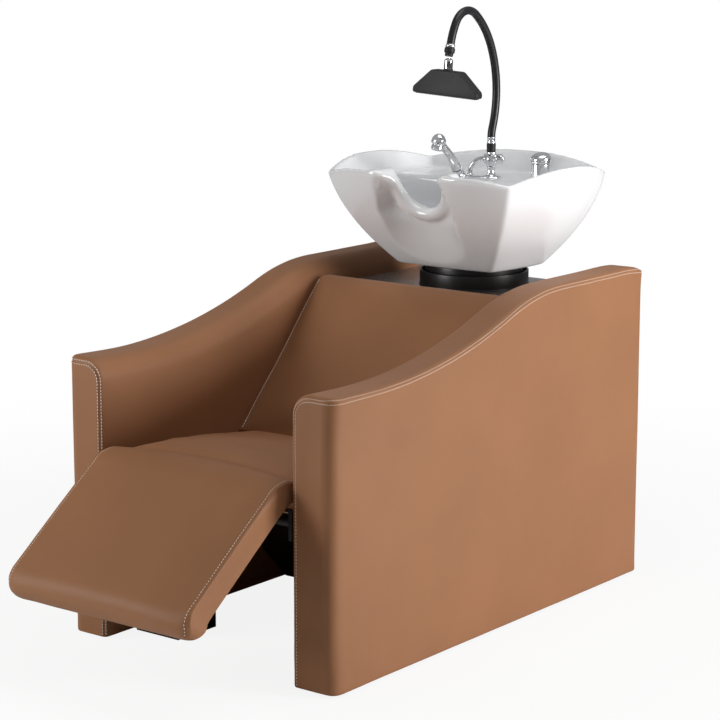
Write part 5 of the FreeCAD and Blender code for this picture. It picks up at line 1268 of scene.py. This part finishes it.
def hose_route():
    """Centre line of the spray arm, as bends of a radius and a turn."""
    heading = 0.0
    route = [spot(0, VALVE_ALONG, HOSE_START)]
    for radius, turn in HOSE_BENDS:
        sweep = math.radians(turn)
        side = math.copysign(radius * MM, sweep)
        centre = route[-1] + Vector((0, math.cos(heading), -math.sin(heading))) * side
        steps = max(4, round(abs(turn) / 4))
        for step in range(1, steps + 1):
            angle = heading + sweep * step / steps
            route.append(centre - Vector((0, math.cos(angle), -math.sin(angle))) * side)
        heading += sweep
    return route, heading


def spray_head(bm, place):
    """Wide flat head that flares from its neck to its nozzles."""
    outline = [
        (-HEAD_HALF_FOOT, -HEAD_HEIGHT), (HEAD_HALF_FOOT, -HEAD_HEIGHT),
        (HEAD_HALF_FOOT, HEAD_EDGE - HEAD_HEIGHT), (HEAD_HALF_TOP, 0), (-HEAD_HALF_TOP, 0),
        (-HEAD_HALF_FOOT, HEAD_EDGE - HEAD_HEIGHT),
    ]
    face = bm.faces.new([bm.verts.new(Vector((x, -HEAD_DEPTH, z)) * MM) for x, z in outline])
    moved = bmesh.ops.extrude_face_region(bm, geom=[face])["geom"]
    rear = [item for item in moved if isinstance(item, bmesh.types.BMVert)]
    bmesh.ops.translate(bm, vec=(0, 2 * HEAD_DEPTH * MM, 0), verts=rear)
    bmesh.ops.recalc_face_normals(bm, faces=bm.faces)
    corners = [edge for edge in bm.edges if abs(edge.verts[0].co.y - edge.verts[1].co.y) > HEAD_DEPTH * MM]
    round_edges(bm, corners, 4.5, 4)
    rims = [edge for edge in bm.edges if edge.calc_face_angle(0) > math.radians(50)]
    round_edges(bm, rims, 2.2, 3)
    bmesh.ops.transform(bm, matrix=place, verts=bm.verts)


def nozzles(bm, foot):
    """Strip with three rows of nozzles, under the foot of the head."""
    slab(bm, foot @ Matrix.Translation((0, 0, -0.2 * MM)), (2 * (HEAD_HALF_FOOT - 5), 14, 2.8), 0.8, 2)
    for row in (-1, 0, 1):
        for step in range(NOZZLE_COUNT):
            x = (step - NOZZLE_COUNT // 2) * NOZZLE_PITCH + (NOZZLE_PITCH / 2 if row == 0 else 0)
            if abs(x) > HEAD_HALF_FOOT - 8:
                continue
            bmesh.ops.create_cone(
                bm, cap_ends=True, segments=8, radius1=0.6 * MM, radius2=1.1 * MM, depth=1.4 * MM,
                matrix=foot @ Matrix.Translation(Vector((x, row * NOZZLE_ROW, -2)) * MM),
            )


class WASHSEAT_OT_spray_arm(bpy.types.Operator):
    """Make the arched spray arm with its ferrules, nut and wide head"""

    bl_idname = "washseat.spray_arm"
    bl_label = "Spray arm"

    def execute(self, context):
        upright = Matrix.Translation(spot(0, VALVE_ALONG, ARM_COLLAR))
        route, heading = hose_route()
        down = Vector((0, math.sin(heading), math.cos(heading)))
        leaning = tilted(route[-1], down)
        ball = route[-1] + down * NECK_REACH * MM
        up = Vector((math.sin(HEAD_ROLL), 0, math.cos(HEAD_ROLL)))
        across = Vector((math.cos(HEAD_ROLL), 0, -math.sin(HEAD_ROLL)))
        turn = Matrix((across, Vector((0, 1, 0)), up)).transposed().to_4x4()
        head = Matrix.Translation(ball - up * HEAD_DROP * MM) @ turn

        bm = bmesh.new()
        spun(bm, [
            (0, 0), (9.8, 0), (10.4, 1), (10.4, 7.5), (9.9, 8.8), (10.4, 10), (10.4, 18), (9.6, 19), (0, 19),
        ], 0.5, upright, steps=2)
        peg(bm, 6, -10.8, 1, upright)
        finish_piece("hose_collar_turned", bm, "spray_arm", "black_plastic", "hose_collar", crisp=35)

        bm = bmesh.new()
        spun(bm, [
            (0, 19), (9.4, 19.1), (9.7, 20.5), (9.2, 23.5), (8.6, 25.5), (8.9, 30), (9.6, 32.2), (9.2, 33.5),
            (0, 33.6),
        ], 0.6, upright, steps=2)
        finish_piece("hose_ferrule_low_turned", bm, "spray_arm", "chrome", "hose_ferrule_low", crisp=35)

        bm = bmesh.new()
        swept(bm, route, [HOSE_RADIUS] * len(route), 28)
        finish_piece("hose_jacket", bm, "spray_arm", "black_hose", "spray_hose", crisp=60)

        bm = bmesh.new()
        spun(bm, [
            (0, -0.5), (9.8, -0.3), (10.6, 1), (10.4, 4.5), (9.4, 6), (0, 6.1),
        ], 0.6, leaning, steps=2)
        finish_piece("hose_ferrule_high_turned", bm, "spray_arm", "chrome", "hose_ferrule_high", crisp=35)

        bm = bmesh.new()
        spun(bm, [
            (0, 6.2), (9.8, 6.2), (11.7, 8.2), (11.8, 16.5), (10.8, 18.2), (9.2, 19.2), (9, 25.6),
            (6.2, 25.9), (6.2, 16), (0, 16),
        ], 0.7, leaning, 48, 2)
        finish_piece("swivel_nut_turned", bm, "spray_arm", "black_plastic", "swivel_nut", crisp=35)

        bm = bmesh.new()
        bmesh.ops.create_uvsphere(
            bm, u_segments=24, v_segments=14, radius=5.4 * MM, matrix=Matrix.Translation(ball),
        )
        spun(bm, [
            (0, 30.5), (9.2, 30.5), (9.6, 29.5), (9.6, 12.5), (8.8, 9.5), (5.2, 7.8), (3.6, 7), (3.6, 2),
            (0, 2),
        ], 0.8, tilted(ball, -up))
        finish_piece("spray_neck_turned", bm, "spray", "chrome", "spray_neck", crisp=50)

        bm = bmesh.new()
        spray_head(bm, head)
        spun(bm, [(0, -1), (11.8, -1), (10.8, 1.4), (10.4, 3.2), (9.6, 3.6), (0, 3.6)], 0.6, head, 32, 2)
        finish_piece("spray_head_moulded", bm, "spray", "black_plastic", "spray_head", crisp=40)

        bm = bmesh.new()
        nozzles(bm, head @ Matrix.Translation((0, 0, -HEAD_HEIGHT * MM)))
        finish_piece("spray_nozzles", bm, "spray", "black_hose", "nozzle_strip", smooth=False)
        return {"FINISHED"}


# Stage

FLOOR_HALF, FLOOR_DROP = 30, 0.5
MIRRORED_ROOM = 0.32
CAMERA_SPOT = (3030.89709371, -3359.92895665, 1519.00074008)
CAMERA_AZIMUTH, CAMERA_FALL = math.radians(37.909795950), math.radians(11.195265507)


def lamp(name, place, target, strength, width, height):
    """Rectangular lamp that faces its target."""
    data = bpy.data.lights.new(name, "AREA")
    data.shape = "RECTANGLE"
    data.size, data.size_y = width, height
    data.energy = strength
    turn_towards(link_object(name, data), place, Vector(target) - Vector(place))


def turn_towards(made, place, direction):
    made.location = place
    made.rotation_mode = "QUATERNION"
    made.rotation_quaternion = direction.to_track_quat("-Z", "Y")


class WASHSEAT_OT_stage(bpy.types.Operator):
    """Make the floor, the lights and the camera"""

    bl_idname = "washseat.stage"
    bl_label = "Stage"

    def execute(self, context):
        scene = context.scene
        settings = scene.wash_seat_stage
        bm = bmesh.new()
        bmesh.ops.create_grid(bm, x_segments=1, y_segments=1, size=FLOOR_HALF)
        mesh = bpy.data.meshes.new("studio_floor")
        bm.to_mesh(mesh)
        bm.free()
        floor = link_object("studio_floor", mesh)
        mesh.materials.append(floor_finish())
        floor.location.z = -FLOOR_DROP * MM

        world = bpy.data.worlds.new("studio")
        scene.world = world
        world.use_nodes = True
        tree = world.node_tree
        rays = add_node(tree, "LightPath", {}).outputs
        mirrored = add_node(tree, "Math", {0: rays["Is Glossy Ray"], 1: MIRRORED_ROOM}, operation="MULTIPLY")
        seen = add_node(tree, "Math", {0: rays["Is Camera Ray"], 1: mirrored.outputs[0]}, operation="MAXIMUM")
        fill_sockets(tree, tree.nodes["Background"], {
            "Color": (1, 1, 1, 1), "Strength": spread(tree, seen.outputs[0], settings.world, 1),
        })

        lamp("key_light", (3.6, 1.2, 1.25), (0, 0, 0.6), settings.key, 1.2, 1.1)
        lamp("fill_light", (-1.6, -2.3, 1.15), (-0.2, 0, 0.6), settings.fill, 1.2, 1.2)
        lamp("top_light", (0.6, 0.4, 3.4), (0, 0.3, 0.7), settings.top, 2.0, 2.0)

        camera_data = bpy.data.cameras.new("camera")
        camera = link_object("camera", camera_data)
        camera_data.sensor_width = 36
        camera_data.lens = settings.lens
        camera_data.clip_end = 60
        level = math.cos(CAMERA_FALL)
        turn_towards(camera, spot(*CAMERA_SPOT), Vector((
            -math.sin(CAMERA_AZIMUTH) * level, math.cos(CAMERA_AZIMUTH) * level, -math.sin(CAMERA_FALL),
        )))
        scene.camera = camera
        scene.view_settings.view_transform = "Standard"
        return {"FINISHED"}


class WASHSEAT_PT_panel(bpy.types.Panel):
    """Steps of the wash seat"""

    bl_label = "Wash seat"
    bl_space_type = "VIEW_3D"
    bl_region_type = "UI"
    bl_category = "Wash seat"

    def draw(self, context):
        for step in STEPS:
            self.layout.operator(step.bl_idname)


STEPS = (
    WASHSEAT_OT_finishes, WASHSEAT_OT_stage, WASHSEAT_OT_arms, WASHSEAT_OT_seat, WASHSEAT_OT_backrest,
    WASHSEAT_OT_legrest, WASHSEAT_OT_basin, WASHSEAT_OT_ring, WASHSEAT_OT_valve,
    WASHSEAT_OT_hand_shower, WASHSEAT_OT_mixer, WASHSEAT_OT_spray_arm,
)
SETTINGS = {
    "wash_seat_leather": LeatherSettings, "wash_seat_arms": ArmSettings,
    "wash_seat_cushions": CushionSettings, "wash_seat_basin": BasinSettings,
    "wash_seat_stage": StageSettings,
}


def register():
    for name, group in SETTINGS.items():
        bpy.utils.register_class(group)
        setattr(bpy.types.Scene, name, bpy.props.PointerProperty(type=group))
    for step in STEPS:
        bpy.utils.register_class(step)
    bpy.utils.register_class(WASHSEAT_PT_panel)


def unregister():
    bpy.utils.unregister_class(WASHSEAT_PT_panel)
    for step in reversed(STEPS):
        bpy.utils.unregister_class(step)
    for name, group in reversed(SETTINGS.items()):
        delattr(bpy.types.Scene, name)
        bpy.utils.unregister_class(group)


def main():
    register()
    for step in STEPS:
        group, name = step.bl_idname.split(".")
        getattr(getattr(bpy.ops, group), name)()


if __name__ == "__main__":
    main()
